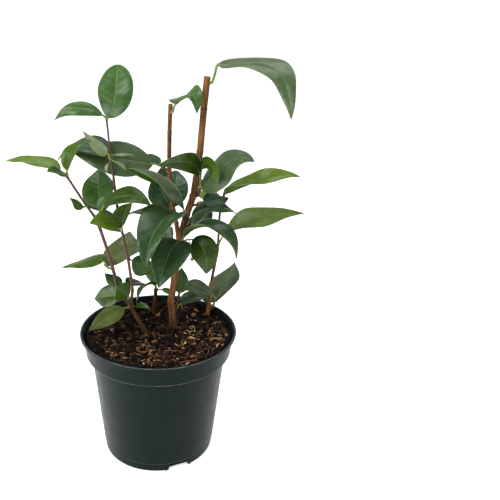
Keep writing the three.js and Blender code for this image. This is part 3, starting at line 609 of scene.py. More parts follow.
def add_blade(heap, laid, roll, tint, under, rib_and_rim_highlight):
    """Blade of one leaf: an upper and a lower skin whose rows follow the side veins, and a toothed rim in
    the pale rib colour, which is a painted highlight along its edge
    """
    own = laid["leaf"]
    half = np.array(HALF_BLADE)
    v = np.concatenate([-half[::-1], [0], half])[None, :]
    out = np.abs(v)
    t = np.linspace(0.004, 0.996, BLADE_ROWS + 1)[:, None]
    s = t + VEIN_SLANT * np.sin(np.pi * t) * out ** 1.3
    _, face, span = leaf_frame(own, s)
    width = own["wide"] / 2 * outline(s, own)
    toothed = (np.arange(BLADE_ROWS + 1) % 2 == 1)[:, None] & (out > 0.99)
    fold = math.radians(own["fold"])
    across = v * width * math.cos(fold) * np.where(toothed, TOOTH, 1.0)
    crease = width * math.sin(fold) * out ** 1.12
    arch = BLADE_ARCH * width * out * (1 - out) - MARGIN_DIP * width * out ** 5
    between = np.sin(np.pi * t * VEINS) ** 2
    pucker = (PUCKER + PUCKER_SHARE * own["wide"]) * between
    pucker = pucker * (4 * out * (1 - out)) ** 0.8 * np.sin(np.pi * t) ** 0.5
    beat = 2 * math.pi * roll()
    sway = SWAY * own["long"] * np.sin(2 * np.pi * (1.9 * s + 0.35 * v) + beat) * out ** 1.5
    ripple = np.sign(v) * out ** 1.5 * leaf_ripple(own, s)
    height = crease + arch + pucker + sway * np.sin(np.pi * t) + ripple
    top = midrib(laid, s) + span * across[..., None] + face * height[..., None]
    keel = MIDRIB_KEEL * (1 - s) * (out < 0.1) + VEIN_KEEL * (1 - between) * (out < 0.9)
    low = top - face * (LEAF_THICK + keel)[..., None]
    columns = v.shape[1]
    below = top[..., 0].size
    quads = grid_faces(BLADE_ROWS + 1, columns, False)
    kinds = np.full((BLADE_ROWS, columns - 1), tint)
    kinds[:, columns // 2 - 1:columns // 2 + 1] = rib_and_rim_highlight
    lower_kinds = np.where(kinds == rib_and_rim_highlight, rib_and_rim_highlight, under)
    left = np.arange(BLADE_ROWS) * columns
    right = left + columns - 1
    foot = np.arange(columns - 1)
    tip = foot + BLADE_ROWS * columns
    sides = ((left, left + columns), (right + columns, right), (foot + 1, foot), (tip, tip + 1))
    # The rim faces take the pale rib colour: a painted highlight along the leaf's edge
    rims = [np.stack([a, b, b + below, a + below], axis=1) for a, b in sides]
    heap.add(np.concatenate([top.reshape(-1, 3), low.reshape(-1, 3)]),
             [quads, (quads + below)[:, ::-1], *rims],
             [kinds.ravel(), lower_kinds.ravel(), rib_and_rim_highlight, rib_and_rim_highlight, rib_and_rim_highlight, rib_and_rim_highlight])


def tube(points, radii, sides, kind, heap, cap=None):
    """Closed round tube along points. Radii are one for each point, or a row of one for each side."""
    points = np.asarray(points, float)
    radii = np.broadcast_to(np.asarray(radii, float).reshape(len(points), -1), (len(points), sides))
    forward = np.gradient(points, axis=0)
    forward /= np.linalg.norm(forward, axis=1)[:, None]
    across = np.array([1.0, 0, 0]) if abs(forward[0][0]) < 0.8 else np.array([0, 1.0, 0])
    angles = around(sides)
    rings = []
    for point, along, radius in zip(points, forward, radii):
        across = across - along * (across @ along)
        across = across / np.linalg.norm(across)
        other = np.cross(along, across)
        spokes = np.outer(np.cos(angles), across) + np.outer(np.sin(angles), other)
        rings.append(point + spokes * radius[:, None])
    kinds = np.broadcast_to(kind, len(points))
    tip_kind = kinds[-1] if cap is None else cap
    heap.add_round(rings, points[[0, -1]], [np.repeat(kinds[:-1], sides), kinds[0], tip_kind])


def soften(line, step, window):
    """Points along a walked line every `step`, its corners rounded over `window`, and their distances"""
    first, last = line[0][0], line[-1][0]
    count = max(int(round((last - first) / step)), 3)
    places = np.linspace(first, last, count + 1)
    offsets = np.linspace(-1, 1, 9)
    points = []
    for at in places:
        reach = min(window, at - first, last - at)
        points.append(np.mean([point_on(line, at + reach * o) for o in offsets], axis=0))
    return np.array(points), places


def hump(away, wide):
    """Smooth rise to 1 where `away` is 0"""
    return np.exp(-(away / wide) ** 2)


def bark_relief(sides, places, seed, depth):
    """Long ridges and furrows in bark, as a share of the radius"""
    rng = np.random.default_rng(seed)
    relief = np.zeros((len(places), sides))
    for lobes in (2, 3, 5, 7, 9, 11):
        for _ in range(2):
            drift = rng.uniform(-0.05, 0.05)
            beat = rng.uniform(0, 2 * np.pi)
            pulse = 0.6 + 0.4 * np.sin(places * rng.uniform(0.08, 0.3) + rng.uniform(0, 6))
            ridges = np.sin(lobes * around(sides)[None, :] + drift * places[:, None] + beat)
            relief += ridges * pulse[:, None] / lobes ** 0.5
    grain = rng.uniform(-1, 1, relief.shape)
    return depth * (relief / 3 + 0.25 * grain)


def add_stem(heap, name, lines, change, low, high, cap):
    """One stem with bark relief and swollen nodes, each with the lump of a bud on one side. Its bark is of
    the kind `low` up to the height `change` and `high` from there, and its cut top is of the kind `cap`."""
    stem = STEMS[name]
    line = lines[name]
    points, places = soften(line, 0.9, 3.5)
    radius = look_up(stem["thick"], places)
    joints = [at for at, _ in line[1:-1] if at > 1]
    for at in joints:
        swell = NODE_BULGE * hump(places - at, 1.7)
        neck = NODE_NECK * hump(places - at - 3, 1.5)
        radius = radius * (1 + swell - neck)
    if "foot" in stem:
        radius = radius * (1 + FOOT_FLARE * np.exp(-np.maximum(places, 0) / 5))
    else:
        radius = radius * (1 + FORK_FLARE * np.exp(-places / 4))
    relief = bark_relief(STEM_SIDES, places, SEED + len(name) * 31 + int(places[-1]), BARK_DEPTH)
    for n, at in enumerate(joints):
        on_side = np.exp(BUD_FOCUS * (np.cos(around(STEM_SIDES) - BUD_TURN * n) - 1))
        relief = relief + BUD_LUMP * (hump(places - at, 1.1)[:, None] * on_side[None, :])
    tube(points, radius[:, None] * (1 + relief), STEM_SIDES, np.where(places < change, low, high), heap, cap)


def add_bud(heap, foot, toward, long, thick, kind):
    """Pointed bud"""
    toward = np.asarray(toward) / np.linalg.norm(toward)
    parts = np.array([0, 0.12, 0.28, 0.45, 0.62, 0.78, 0.9, 1])
    shape = np.array([0.55, 0.8, 1, 0.98, 0.8, 0.52, 0.27, 0.05])
    tube(np.asarray(foot) + np.outer(parts * long, toward), shape * thick, BUD_SIDES, kind, heap)


def add_shoot_wood(twigs, buds, one, lines):
    """A shoot's own twig, joined to its stem, its end bud and a small bud above each leaf stalk"""
    shoot = one["shoot"]
    line = one["line"]
    thick = shoot["thick"]
    carrier = lines[shoot["on"]]
    if shoot["at"] is None:
        root = carrier[-1][1]
        root_radius = look_up(STEMS[shoot["on"]]["thick"], carrier[-1][0])
    else:
        root = point_on(carrier, shoot["at"] - 1)
        root_radius = thick * 1.25
    reach = np.linalg.norm(line[0][1] - root)
    points, places = soften([(-reach, root), *line], 0.8, 2.5)
    radius = thick * (1 - TWIG_TAPER * np.maximum(places, 0) / line[-1][0])
    radius = np.maximum(radius, root_radius + (thick - root_radius) * np.clip((places + reach) / 7, 0, 1))
    for laid in one["laid"]:
        radius = radius * (1 + TWIG_BULGE * hump(places - laid["leaf"]["at"], 1.2))
    relief = bark_relief(TWIG_SIDES, places, SEED + len(one["name"]), TWIG_DEPTH)
    tube(points, radius[:, None] * (1 + relief), TWIG_SIDES, int(one["name"] in GREEN_TWIGS), twigs)
    if one["name"] not in BUDLESS:
        end = direction(*shoot["steps"][-1][1:])
        add_bud(buds, line[-1][1] - end * 0.4, end, 2.6 + 2.2 * thick, 1.05 * thick, 0)
    for laid in one["laid"]:
        out = direction(laid["leaf"]["turn"], 62)
        add_bud(buds, laid["stalk"][0] + out * (0.75 * thick), out, 2.4, 0.75, 0)


def add_dried_bud(twigs, buds, laid):
    """A dead bud that hangs on a thread from a leaf's stalk"""
    top = laid["stalk"][2]
    thread = top + np.array([[0, 0, 0], [1.2, -0.6, -4.5], [2.3, -0.8, -11], [2.9, -0.8, -19]])
    tube(thread, [0.35] * 4, 8, 0, twigs)
    add_bud(buds, thread[-1] + [0, 0, 0.8], (0.1, -0.1, -1), 3.6, 1.9, 1)


def add_stalk(heap, laid):
    """Leaf stalk, which runs on as the keel under the foot of the blade"""
    own = laid["leaf"]
    slim = min(STALK_RADIUS, own["long"] / 32 + 0.3)
    s = np.array([0.02, 0.06, 0.11])
    face = leaf_frame(own, s)[1]
    knots = np.concatenate([laid["stalk"], midrib(laid, s) - face * np.array([[0.5], [0.75], [0.95]])])
    steps = np.linalg.norm(np.diff(knots, axis=0), axis=1)
    line = list(zip(np.concatenate([[0], np.cumsum(steps)]), knots))
    points, places = soften(line, 0.7, 2)
    radius = slim * np.interp(places / places[-1], [0, 0.12, 0.4, 0.75, 1], [1.3, 1.0, 0.86, 0.8, 0.35])
    tube(points, radius, STALK_SIDES, 0, heap)


def colour(red, green, blue):
    """Linear colour from an ordinary 0 to 255 one"""
    values = [c / 255 for c in (red, green, blue)]
    return tuple(c / 12.92 if c <= 0.04045 else ((c + 0.055) / 1.055) ** 2.4 for c in values) + (1,)


def fill(node, values):
    """Constants on a node's own sockets"""
    for socket, value in values.items():
        node.inputs[socket].default_value = value


def finish_of(name, dark, light, patch, rough, grain, depth, specular=0.5, stretch=1.0):
    """Procedural material: two tones in patches, roughness that varies, and a fine grain in relief.
    `patch` and `grain` are sizes in millimetres, `rough` is the lowest and highest roughness, and a small
    `stretch` draws all of it out along Z."""
    made = bpy.data.materials.new(name)
    made.use_nodes = True
    nodes = made.node_tree.nodes
    links = made.node_tree.links
    shader = nodes["Principled BSDF"]
    place = nodes.new("ShaderNodeTexCoord")
    lie = nodes.new("ShaderNodeMapping")
    fill(lie, {"Scale": (1, 1, stretch)})
    links.new(place.outputs["Object"], lie.inputs["Vector"])

    def cloud(size, detail, socket):
        field = nodes.new("ShaderNodeTexNoise")
        fill(field, {"Scale": 1 / (size * MM), "Detail": detail})
        links.new(lie.outputs["Vector"], field.inputs["Vector"])
        links.new(field.outputs["Fac"], socket)

    tones = nodes.new("ShaderNodeValToRGB")
    for stop, position, tone in zip(tones.color_ramp.elements, (0.32, 0.68), (dark, light)):
        stop.position = position
        stop.color = colour(*tone)
    cloud(patch, 5, tones.inputs["Fac"])
    links.new(tones.outputs["Color"], shader.inputs["Base Color"])
    gloss = nodes.new("ShaderNodeMapRange")
    fill(gloss, {"From Min": 0.3, "From Max": 0.7, "To Min": rough[0], "To Max": rough[1]})
    cloud(patch * 0.6, 3, gloss.inputs["Value"])
    links.new(gloss.outputs["Result"], shader.inputs["Roughness"])
    relief = nodes.new("ShaderNodeBump")
    fill(relief, {"Strength": 1, "Distance": depth * MM})
    cloud(grain, 4, relief.inputs["Height"])
    links.new(relief.outputs["Normal"], shader.inputs["Normal"])
    fill(shader, {"Specular IOR Level": specular})
    return made


def fillet(corners):
    """Outline of (radius, height, rounding) corners with each corner rounded by an arc"""
    points = []
    last = len(corners) - 1
    for i, (radius, height, rounding) in enumerate(corners):
        here = np.array([radius, height], float)
        if rounding == 0 or i in (0, last):
            points.append(here)
            continue
        back = np.array(corners[i - 1][:2], float) - here
        ahead = np.array(corners[i + 1][:2], float) - here
        room = min(rounding, 0.45 * np.linalg.norm(back), 0.45 * np.linalg.norm(ahead))
        a = here + back / np.linalg.norm(back) * room
        b = here + ahead / np.linalg.norm(ahead) * room
        for u in np.linspace(0, 1, ROUND_STEPS):
            points.append((1 - u) ** 2 * a + 2 * u * (1 - u) * here + u ** 2 * b)
    return np.array(points)


def pot_profile():
    """Outline of the pot's wall, from the middle of its underside to the middle of its floor inside"""
    lip_low = POT_HEIGHT - LIP_HEIGHT
    outside = [
        (0, 0, 0),
        (PLINTH_RADIUS, 0, BASE_ROUND),
        (PLINTH_RADIUS + 0.4, PLINTH_HEIGHT - 0.6, 0.3),
        (BODY_FOOT_RADIUS, PLINTH_HEIGHT, 0.6),
        (BODY_TOP_RADIUS, BAND_FOOT - 0.8, 1.2),
        (BAND_FOOT_RADIUS - 0.4, BAND_FOOT, 0.6),
        (BAND_FOOT_RADIUS, BAND_FOOT + 0.7, 0.5),
        (BAND_TOP_RADIUS, lip_low - 0.4, 0.8),
        (RIM_RADIUS, lip_low, 0.7),
        (RIM_RADIUS, POT_HEIGHT, 0.8),
    ]
    inside = [
        (RIM_RADIUS - 1.8, POT_HEIGHT, 0.5),
        (RIM_RADIUS - LIP_WIDTH, POT_HEIGHT - 1.1, 0.5),
        (BAND_TOP_RADIUS - WALL, POT_HEIGHT - 3.6, 0.8),
        (BAND_FOOT_RADIUS - WALL, BAND_FOOT + 2, 1.5),
        (BODY_TOP_RADIUS - WALL, BAND_FOOT + 0.6, 1.5),
        (BODY_FOOT_RADIUS - WALL, PLINTH_HEIGHT, 1),
        (FLOOR_RADIUS, FLOOR + FLOOR_SLOPE, 1),
        (FLOOR_RADIUS - FLOOR_SLOPE, FLOOR, 1),
        (0, FLOOR, 0),
    ]
    return fillet(outside + inside)


def box_points(low, high):
    """A box, narrower at its top by NOTCH_LEAN on both sides"""
    corners = np.array(list(product(*zip(low, high))))
    corners[:, 1] -= np.sign(corners[:, 1]) * NOTCH_LEAN * (corners[:, 2] > low[2])
    faces = np.array([[0, 1, 3, 2], [4, 6, 7, 5], [0, 4, 5, 1], [2, 3, 7, 6], [0, 2, 6, 4], [1, 5, 7, 3]])
    return corners, faces


def turned(points, degrees):
    t = math.radians(degrees)
    spin = np.array([[math.cos(t), math.sin(t), 0], [-math.sin(t), math.cos(t), 0], [0, 0, 1]])
    return np.asarray(points) @ spin


def cut(piece, heap, how):
    """Joins or cuts away the bodies of a heap, and removes them"""
    tool = heap.piece("cutter", [])
    change = piece.modifiers.new("cut", "BOOLEAN")
    change.operation = how
    change.solver = "EXACT"
    change.object = tool
    bpy.context.view_layer.objects.active = piece
    bpy.ops.object.modifier_apply(modifier=change.name)
    bpy.data.objects.remove(tool)


def on_highlight_edge(radius, height):
    """Whether a place on the pot is on its lip, the band's lower edge or the top edge of its plinth, where a
    paler finish is painted on as a highlight
    """
    lip = radius > RIM_RADIUS - 2 and height > POT_HEIGHT - 0.4
    band = radius > BAND_FOOT_RADIUS - 0.6 and abs(height - BAND_FOOT - 0.2) < 0.6
    plinth = radius > PLINTH_RADIUS + 0.2 and abs(height - PLINTH_HEIGHT + 0.6) < 0.5
    return lip or band or plinth


def build_pot():
    heap = Heap()
    profile = pot_profile()
    rings = [ring(radius, height, POT_SIDES) for radius, height in profile[1:-1]]
    heap.add_round(rings, [[0, 0, profile[0][1]], [0, 0, profile[-1][1]]], [0, 0, 0])
    plastic = finish_of("pot_plastic", (9, 21, 21), (13, 27, 26), 18, (0.3, 0.4), 0.5, 0.02, 0.07)
    # Paler finish for the lip, the band's lower edge and the plinth's top edge: a painted highlight along
    # each of these edges
    edge_highlight = finish_of("pot_edge_highlight", (44, 52, 50), (86, 90, 86), 5, (0.4, 0.55), 0.5, 0.02, 0.1)
    pot = heap.piece("pot_shell", [plastic, edge_highlight])
    alcoves, notches, drains = Heap(), Heap(), Heap()
    back = PLINTH_RADIUS - NOTCH_DEPTH
    half = NOTCH_WIDTH / 2
    middle = NOTCH_HEIGHT / 2 + 0.2
    for i in range(NOTCHES):
        turn = NOTCH_TURN + 360 * i / NOTCHES
        corners, faces = box_points((back - WALL, -half - WALL, 0.6),
                                    (PLINTH_RADIUS - 1.5, half + WALL, NOTCH_HEIGHT + WALL))
        alcoves.add(turned(corners, turn), [faces], [0])
        corners, faces = box_points((back, -half, -2), (PLINTH_RADIUS + 6, half, NOTCH_HEIGHT))
        notches.add(turned(corners, turn), [faces], [0])
        line = [(PLINTH_RADIUS - 3 * NOTCH_DEPTH / 2 - 2, 0, middle), (PLINTH_RADIUS + 2, 0, middle)]
        tube(turned(line, turn), [DRAIN_RADIUS, DRAIN_RADIUS], 24, 0, drains)
    cut(pot, alcoves, "UNION")
    cut(pot, notches, "DIFFERENCE")
    cut(pot, drains, "DIFFERENCE")
    # Faces on those edges take the paler finish, a painted highlight
    for face in pot.data.polygons:
        x, y, z = face.center / MM
        face.material_index = int(on_highlight_edge(math.hypot(x, y), z))
    pot.data.polygons.foreach_set("use_smooth", [True] * len(pot.data.polygons))
    pot.data.set_sharp_from_angle(angle=math.radians(28))
    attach(pot, "root")
    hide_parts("pot")


def soil_height(x, y):
    """Height of the compost's loose surface: the lumps and the bank of the solid, with finer ones on them"""
    broad = math.sin(x / 11 + 1.3) * math.cos(y / 13 - 0.4) + 0.6 * math.sin((x - y) / 7.1 + 2.2)
    fine = 0.45 * math.sin(x / 2.9 + 0.7) * math.sin(y / 3.3 + 1.9)
    lumps = noise.fractal(Vector((x / 8, y / 8, 3.7)), 0.75, 2.1, 5)
    bank = SOIL_BANK * (math.hypot(x, y) / SOIL_RADIUS) ** 4
    return SOIL_TOP + 0.78 * (broad + fine) + 2.8 * lumps + bank


def build_soil():
    """Body of the compost, whose top is a loose crumbly surface"""
    heap = Heap()
    side = [
        (FLOOR_RADIUS - FLOOR_SLOPE - GAP - NOTCH_DEPTH, FLOOR + GAP),
        (FLOOR_RADIUS - GAP - NOTCH_DEPTH, FLOOR + FLOOR_SLOPE + GAP),
        (PLINTH_RADIUS - WALL - GAP - NOTCH_DEPTH, NOTCH_HEIGHT + WALL),
        (BODY_FOOT_RADIUS - WALL - GAP, NOTCH_HEIGHT + 2 * WALL + GAP),
        (BODY_TOP_RADIUS - WALL - GAP, BAND_FOOT + 0.8),
        (BAND_FOOT_RADIUS - WALL - GAP, BAND_FOOT + 2.4),
    ]
    rings = [ring(radius, height, SOIL_SIDES) for radius, height in side]
    for radius in np.linspace(SOIL_RADIUS, SOIL_RADIUS / SOIL_RINGS, SOIL_RINGS):
        loose = ring(radius, 0, SOIL_SIDES)
        loose[:, 2] = [soil_height(x, y) for x, y, _ in loose]
        rings.append(loose)
    heap.add_round(rings, [[0, 0, FLOOR + GAP], [0, 0, soil_height(0, 0)]], [0, 0, 0])
    earth = finish_of("compost_earth", (6, 4, 3), (26, 17, 12), 3, (0.8, 1), 0.8, 0.5, 0.15)
    soil = heap.piece("compost_body", [earth], sharp=70)
    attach(soil, "root")
    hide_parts("compost")


def lump_shape(split):
    """Points and faces of a round lump of 20 faces, or of 80 where each of them is split"""
    g = (1 + 5 ** 0.5) / 2
    points = [(-1, g, 0), (1, g, 0), (-1, -g, 0), (1, -g, 0), (0, -1, g), (0, 1, g),
              (0, -1, -g), (0, 1, -g), (g, 0, -1), (g, 0, 1), (-g, 0, -1), (-g, 0, 1)]
    faces = [(0, 11, 5), (0, 5, 1), (0, 1, 7), (0, 7, 10), (0, 10, 11), (1, 5, 9), (5, 11, 4), (11, 10, 2),
             (10, 7, 6), (7, 1, 8), (3, 9, 4), (3, 4, 2), (3, 2, 6), (3, 6, 8), (3, 8, 9), (4, 9, 5),
             (2, 4, 11), (6, 2, 10), (8, 6, 7), (9, 8, 1)]
    middles = {}

    def middle(a, b):
        key = (min(a, b), max(a, b))
        if key not in middles:
            middles[key] = len(points)
            points.append((np.array(points[a]) + points[b]) / 2)
        return middles[key]

    if split:
        whole, faces = faces, []
        for a, b, c in whole:
            ab, bc, ca = middle(a, b), middle(b, c), middle(c, a)
            faces += [(a, ab, ca), (b, bc, ab), (c, ca, bc), (ab, bc, ca)]
    points = np.array(points)
    return points / np.linalg.norm(points, axis=1)[:, None], np.array(faces)


def any_turn(rng):
    """A turn to any side, as a matrix"""
    return np.array(Quaternion(rng.normal(size=4)).normalized().to_matrix())


def soil_spot(rng, reach):
    """A place on the compost, within `reach` of the pot's axis"""
    radius = reach * math.sqrt(rng.uniform())
    turn = rng.uniform(0, 2 * math.pi)
    return radius * math.cos(turn), radius * math.sin(turn)


def build_crumbs():
    """Loose crumbs and small lumps lying on the compost, and specks of it stuck to the pot's outside"""
    heap = Heap()
    rng = np.random.default_rng(SEED)
    small, small_faces = lump_shape(False)
    large, large_faces = lump_shape(True)
    for i in range(CRUMBS):
        big = i % 7 == 0
        shape, faces = (large, large_faces) if big else (small, small_faces)
        size = rng.uniform(1.4, 3.4) if big else rng.uniform(0.4, 1.4)
        x, y = soil_spot(rng, SOIL_RADIUS - size)
        rough = rng.uniform(0.62, 1.25, (len(shape), 1))
        squash = np.array([1, rng.uniform(0.55, 1), rng.uniform(0.45, 0.8)])
        body = (shape * rough * squash * size) @ any_turn(rng)
        centre = np.array([x, y, soil_height(x, y) + size * rng.uniform(-0.1, 0.5)])
        heap.add(body + centre, [faces], [rng.choice(5, p=[0.5, 0.14, 0.04, 0.3, 0.02])])
    heights = [PLINTH_HEIGHT, BAND_FOOT, BAND_FOOT + 0.7, POT_HEIGHT]
    radii = [BODY_FOOT_RADIUS, BODY_TOP_RADIUS, BAND_FOOT_RADIUS, BAND_TOP_RADIUS]
    for _ in range(SPECKS):
        turn = rng.uniform(0, 2 * math.pi)
        height = POT_HEIGHT - LIP_HEIGHT - SPECK_DROP * rng.uniform() ** 2.2
        radius = np.interp(height, heights, radii)
        body = (small * rng.uniform(0.5, 1.2, (len(small), 1)) * rng.uniform(0.15, 0.5)) @ any_turn(rng)
        centre = [radius * math.cos(turn), radius * math.sin(turn), height]
        heap.add(body + centre, [small_faces], [rng.choice((1, 3, 4))])
    finishes = [
        finish_of("crumb_black", (6, 5, 4), (18, 13, 10), 2, (0.75, 1), 0.5, 0.3, 0.15),
        finish_of("crumb_brown", (44, 29, 21), (68, 46, 33), 2, (0.75, 1), 0.5, 0.3, 0.2),
        finish_of("crumb_red", (64, 38, 25), (90, 56, 38), 2, (0.75, 1), 0.5, 0.3, 0.2),
        finish_of("crumb_dark", (26, 18, 14), (46, 31, 24), 2, (0.75, 1), 0.5, 0.3, 0.2),
        finish_of("crumb_tan", (118, 88, 60), (156, 120, 84), 2, (0.7, 0.95), 0.5, 0.3, 0.2),
    ]
    crumbs = heap.piece("compost_crumbs", finishes, smooth=False)
    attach(crumbs, "root")


def add_splinter(heap, rng, x, y, long, wide, thick, kind, lift):
    """A curved flat splinter of bark or wood lying on the compost"""
    turn = rng.uniform(0, 2 * math.pi)
    tilt = rng.uniform(-0.4, 0.55)
    curve = rng.uniform(-0.8, 0.8)
    rings = []
    for u in np.linspace(-0.5, 0.5, SPLINTER_ROWS):
        heading = turn + curve * u
        half = wide / 2 * ((1 - (2 * abs(u)) ** 3) ** 0.6 * 0.85 + 0.15)
        ahead = np.array([math.cos(turn + curve * u / 2), math.sin(turn + curve * u / 2)])
        across = np.array([-math.sin(heading), math.cos(heading)])
        spot = np.array([x, y]) + ahead * u * long
        height = soil_height(*spot) * 0.35 + soil_height(x, y) * 0.65 + lift + tilt * u * long * 0.4
        for side, up in ((-1, 0), (0, thick / 2), (1, 0), (0, -thick / 2)):
            rings.append([*(spot + across * half * side), height + up])
    far = np.arange(4) + 4 * (SPLINTER_ROWS - 1)
    heap.add(rings, [grid_faces(SPLINTER_ROWS, 4, True), [[3, 2, 1, 0]], [far]], [kind, kind, kind])


def build_litter():
    """Bark splinters, wood chips and fibres on the compost, more of them at the front right"""
    chips = Heap()
    rng = np.random.default_rng(SEED + 1)
    for _ in range(CHIP_TRIES):
        x, y = soil_spot(rng, SOIL_RADIUS - 5)
        front = 1 / (1 + math.exp(-(0.9 * x - y - 22) / 10))
        if rng.uniform() > 0.12 + 0.88 * front:
            continue
        long = rng.uniform(2.5, 8.5)
        kind = rng.choice(4, p=[0.3, 0.1, 0.14, 0.46])
        add_splinter(chips, rng, x, y, long, rng.uniform(0.6, 1.9), rng.uniform(0.4, 1), kind,
                     rng.uniform(0.5, 1.8))
    for _ in range(FIBRES):
        x, y = soil_spot(rng, SOIL_RADIUS - 7)
        add_splinter(chips, rng, x, y, rng.uniform(5, 12), rng.uniform(0.3, 0.6), 0.35,
                     rng.choice(4, p=[0.2, 0.05, 0.25, 0.5]), rng.uniform(0.6, 2))
    tones = dict(
        tan=((150, 108, 64), (190, 146, 96)),
        pale=((190, 156, 112), (222, 196, 156)),
        orange=((112, 70, 40), (150, 100, 58)),
        brown=((66, 42, 28), (98, 66, 44)),
    )
    finishes = [finish_of("chip_" + tone, *tones[tone], 2, (0.65, 0.9), 0.4, 0.2, 0.2) for tone in tones]
    litter = chips.piece("compost_litter", finishes, sharp=35)
    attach(litter, "root")


def build_stems(lines):
    """Stems with the bark of each, and the purple bark, which the twigs take too"""
    cane = finish_of("cane_bark", (50, 31, 14), (128, 84, 42), 2.2, (0.6, 0.85), 0.5, 0.2, 0.2, stretch=0.12)
    old = finish_of("old_bark", (42, 27, 10), (92, 60, 24), 2, (0.65, 0.9), 0.5, 0.2, 0.2, stretch=0.15)
    orange = finish_of("orange_bark", (96, 60, 22), (146, 94, 40), 4, (0.55, 0.8), 0.5, 0.1, stretch=0.2)
    purple = finish_of("purple_bark", (52, 27, 15), (90, 54, 32), 4, (0.5, 0.75), 0.4, 0.08, stretch=0.2)
    wood = finish_of("cut_wood", (120, 84, 58), (168, 128, 90), 1, (0.7, 0.9), 0.3, 0.1)
    brown = Heap()
    add_stem(brown, "main", lines, 9, 1, 0, 4)
    add_stem(brown, "second", lines, 0, 0, 0, 4)
    add_stem(brown, "right", lines, 42, 2, 3, 3)
    add_stem(brown, "short", lines, 0, 1, 1, 4)
    stems = brown.piece("brown_stems", [cane, old, orange, purple, wood])
    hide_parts("main_stem", "second_stem", "right_stem", "short_stem")
    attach(stems, "root")
    young = Heap()
    add_stem(young, "left", lines, 30, 1, 0, 0)
    add_stem(young, "inner", lines, 0, 0, 0, 0)
    stems = young.piece("young_stems", [purple, old])
    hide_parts("left_stem", "inner_stem")
    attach(stems, "root")
    return purple


def build_leaves(shoots, lines):
    """Blades joined by the slot they take, each leaf in its own tint, then stalks, twigs and buds"""
    tones = dict(
        deep=((34, 58, 30), (46, 72, 38)),
        # grey: grey-green, partly the leaf's own tone and partly painted sheen
        grey=((62, 80, 50), (78, 96, 62)),
        blue=((40, 64, 44), (52, 78, 54)),
        mid=((44, 74, 28), (60, 92, 38)),
        olive=((34, 54, 8), (50, 72, 16)),
        lime=((42, 70, 0), (60, 90, 6)),
        fresh=((72, 98, 18), (92, 118, 34)),
        # pale: partly the pale tone of young leaves, partly painted sheen
        pale=((104, 118, 82), (132, 144, 106)),
        dull=((62, 76, 30), (88, 98, 50)),
    )
    tints = list(tones)
    finishes = [finish_of("leaf_" + tint, *tones[tint], 9, (0.26, 0.38), 0.7, 0.02, 0.26) for tint in tints]
    matt = dict(patch=7, rough=(0.5, 0.62), grain=0.6, depth=0.02, specular=0.2)
    # Underside: the leaf's own yellow-green, made darker and more saturated as painted backlit translucency
    # and shade
    under = finish_of("leaf_under_backlit", (46, 74, 10), (68, 96, 24), **matt)
    # Pale green of the midribs, the leaf's own, also laid on the leaf rims as a painted edge highlight
    rib_and_rim_highlight = finish_of("leaf_rib_and_rim_highlight", (80, 104, 52), (108, 130, 76), **matt)
    heaps = {}
    stalks, twigs, buds = Heap(), Heap(), Heap()
    for one in shoots:
        slot, *given_tints = one["shoot"]["look"].split()
        heap, nodes = heaps.setdefault("leaf_" + slot, (Heap(), []))
        nodes.append(one["name"])
        for i, laid in enumerate(one["laid"]):
            tint = tints.index(given_tints[min(i, len(given_tints) - 1)])
            add_blade(heap, laid, one["roll"], tint, len(tints), len(tints) + 1)
            add_stalk(stalks, laid)
            if (one["name"], i) == DRIED_BUD_LEAF:
                add_dried_bud(twigs, buds, laid)
        add_shoot_wood(twigs, buds, one, lines)
    for slot, (heap, nodes) in heaps.items():
        blades = heap.piece(slot + "_blades", [*finishes, under, rib_and_rim_highlight])
        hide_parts(*nodes)
        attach(blades, "root")
    return stalks, twigs, buds


def build_twigs(stalks, twigs, buds, bark):
    green = finish_of("stalk_green", (78, 98, 32), (112, 132, 54), 4, (0.42, 0.58), 0.5, 0.03)
    scale = finish_of("bud_scale", (98, 108, 48), (132, 134, 72), 2, (0.45, 0.6), 0.5, 0.05)
    dead = finish_of("dead_bud", (92, 66, 52), (168, 148, 128), 1, (0.6, 0.8), 0.4, 0.1)
    for heap, name, surfaces, slot in ((stalks, "leaf_stalks", [green], "leaf_young"),
                                       (twigs, "twigs", [bark, green], "young_bark"),
                                       (buds, "buds", [scale, dead], "leaf_young")):
        piece = heap.piece(name, surfaces)
        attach(piece, "root")


def build_camera():
    data = bpy.data.cameras.new("camera")
    data.lens = LENS
    data.sensor_width = 36
    data.clip_start = 0.01
    camera = bpy.data.objects.new("camera", data)
    down = math.radians(CAMERA_DOWN)
    turn = math.radians(CAMERA_TURN)
    ahead = Vector((0, math.cos(down), -math.sin(down)))
    side = Vector((1, 0, 0))
    look = ahead * math.cos(turn) + side * math.sin(turn)
    right = side * math.cos(turn) - ahead * math.sin(turn)
    up = right.cross(look)
    pose = Matrix((right, up, -look)).transposed().to_4x4()
    pose.translation = CAMERA_PLACE
    camera.matrix_world = pose
    bpy.context.scene.collection.objects.link(camera)
    bpy.context.scene.camera = camera


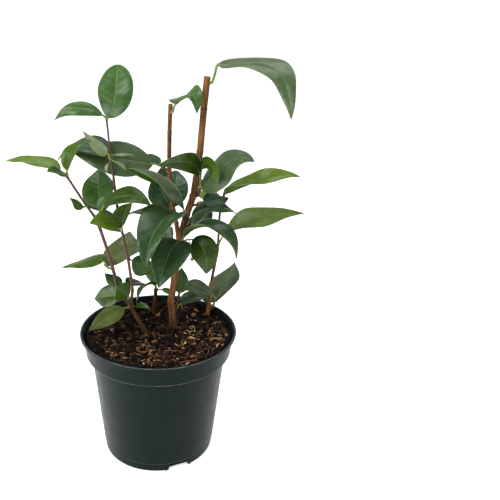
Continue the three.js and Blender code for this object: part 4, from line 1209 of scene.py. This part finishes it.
def add_light(name, place, size, power, aim=(0, 0, 0.2)):
    data = bpy.data.lights.new(name, "AREA")
    data.shape = "RECTANGLE"
    data.size, data.size_y = size
    data.energy = power
    lamp = bpy.data.objects.new(name, data)
    lamp.location = place
    lamp.rotation_euler = (Vector(aim) - Vector(place)).to_track_quat("-Z", "Y").to_euler()
    bpy.context.scene.collection.objects.link(lamp)


def build_studio():
    """Plain pale floor, which rises far out as a studio cove does, a pale surround and four soft lights"""
    heap = Heap()
    steps = np.linspace(-FLOOR_REACH, FLOOR_REACH, 9)
    x, y = np.meshgrid(steps, steps, indexing="ij")
    far = np.maximum(abs(x), abs(y)) > COVE_START * FLOOR_REACH
    rise = np.where(far, COVE_RISE * FLOOR_REACH, 0) - 0.05
    points = np.stack([x.ravel(), y.ravel(), rise.ravel()], axis=1)
    heap.add(points, [grid_faces(9, 9, False)], [0])
    paper = finish_of("floor_paper", (244, 244, 244), (248, 248, 248), 900, (0.7, 0.8), 30, 0.01, 0.2)
    white = (1, 1, 1, 1)
    shader = paper.node_tree.nodes["Principled BSDF"]
    fill(shader, {"Emission Color": white, "Emission Strength": FLOOR_GLOW})
    floor = heap.piece("floor", [paper])
    world = bpy.data.worlds.new("studio")
    world.use_nodes = True
    fill(world.node_tree.nodes["Background"], {"Color": white, "Strength": SKY})
    bpy.context.scene.world = world
    add_light("key", (-1.0, -1.2, 1.6), (0.9, 0.9), 30)
    add_light("side", (-1.3, -0.1, 0.35), (0.45, 1.3), 13, aim=(0, 0, 0.1))
    add_light("fill", (1.5, -0.5, 0.8), (0.5, 1.2), 3.5)
    add_light("top", (0.1, 0.4, 1.9), (1.2, 1.2), 18)
    bpy.context.scene.view_settings.view_transform = "Standard"


def main():
    build_camera()
    build_studio()
    stem_lines = grow_stems()
    bark = build_stems(stem_lines)
    stalks, twigs, buds = build_leaves(lay_shoots(stem_lines), stem_lines)
    build_twigs(stalks, twigs, buds, bark)
    build_pot()
    build_soil()
    build_crumbs()
    build_litter()


main()
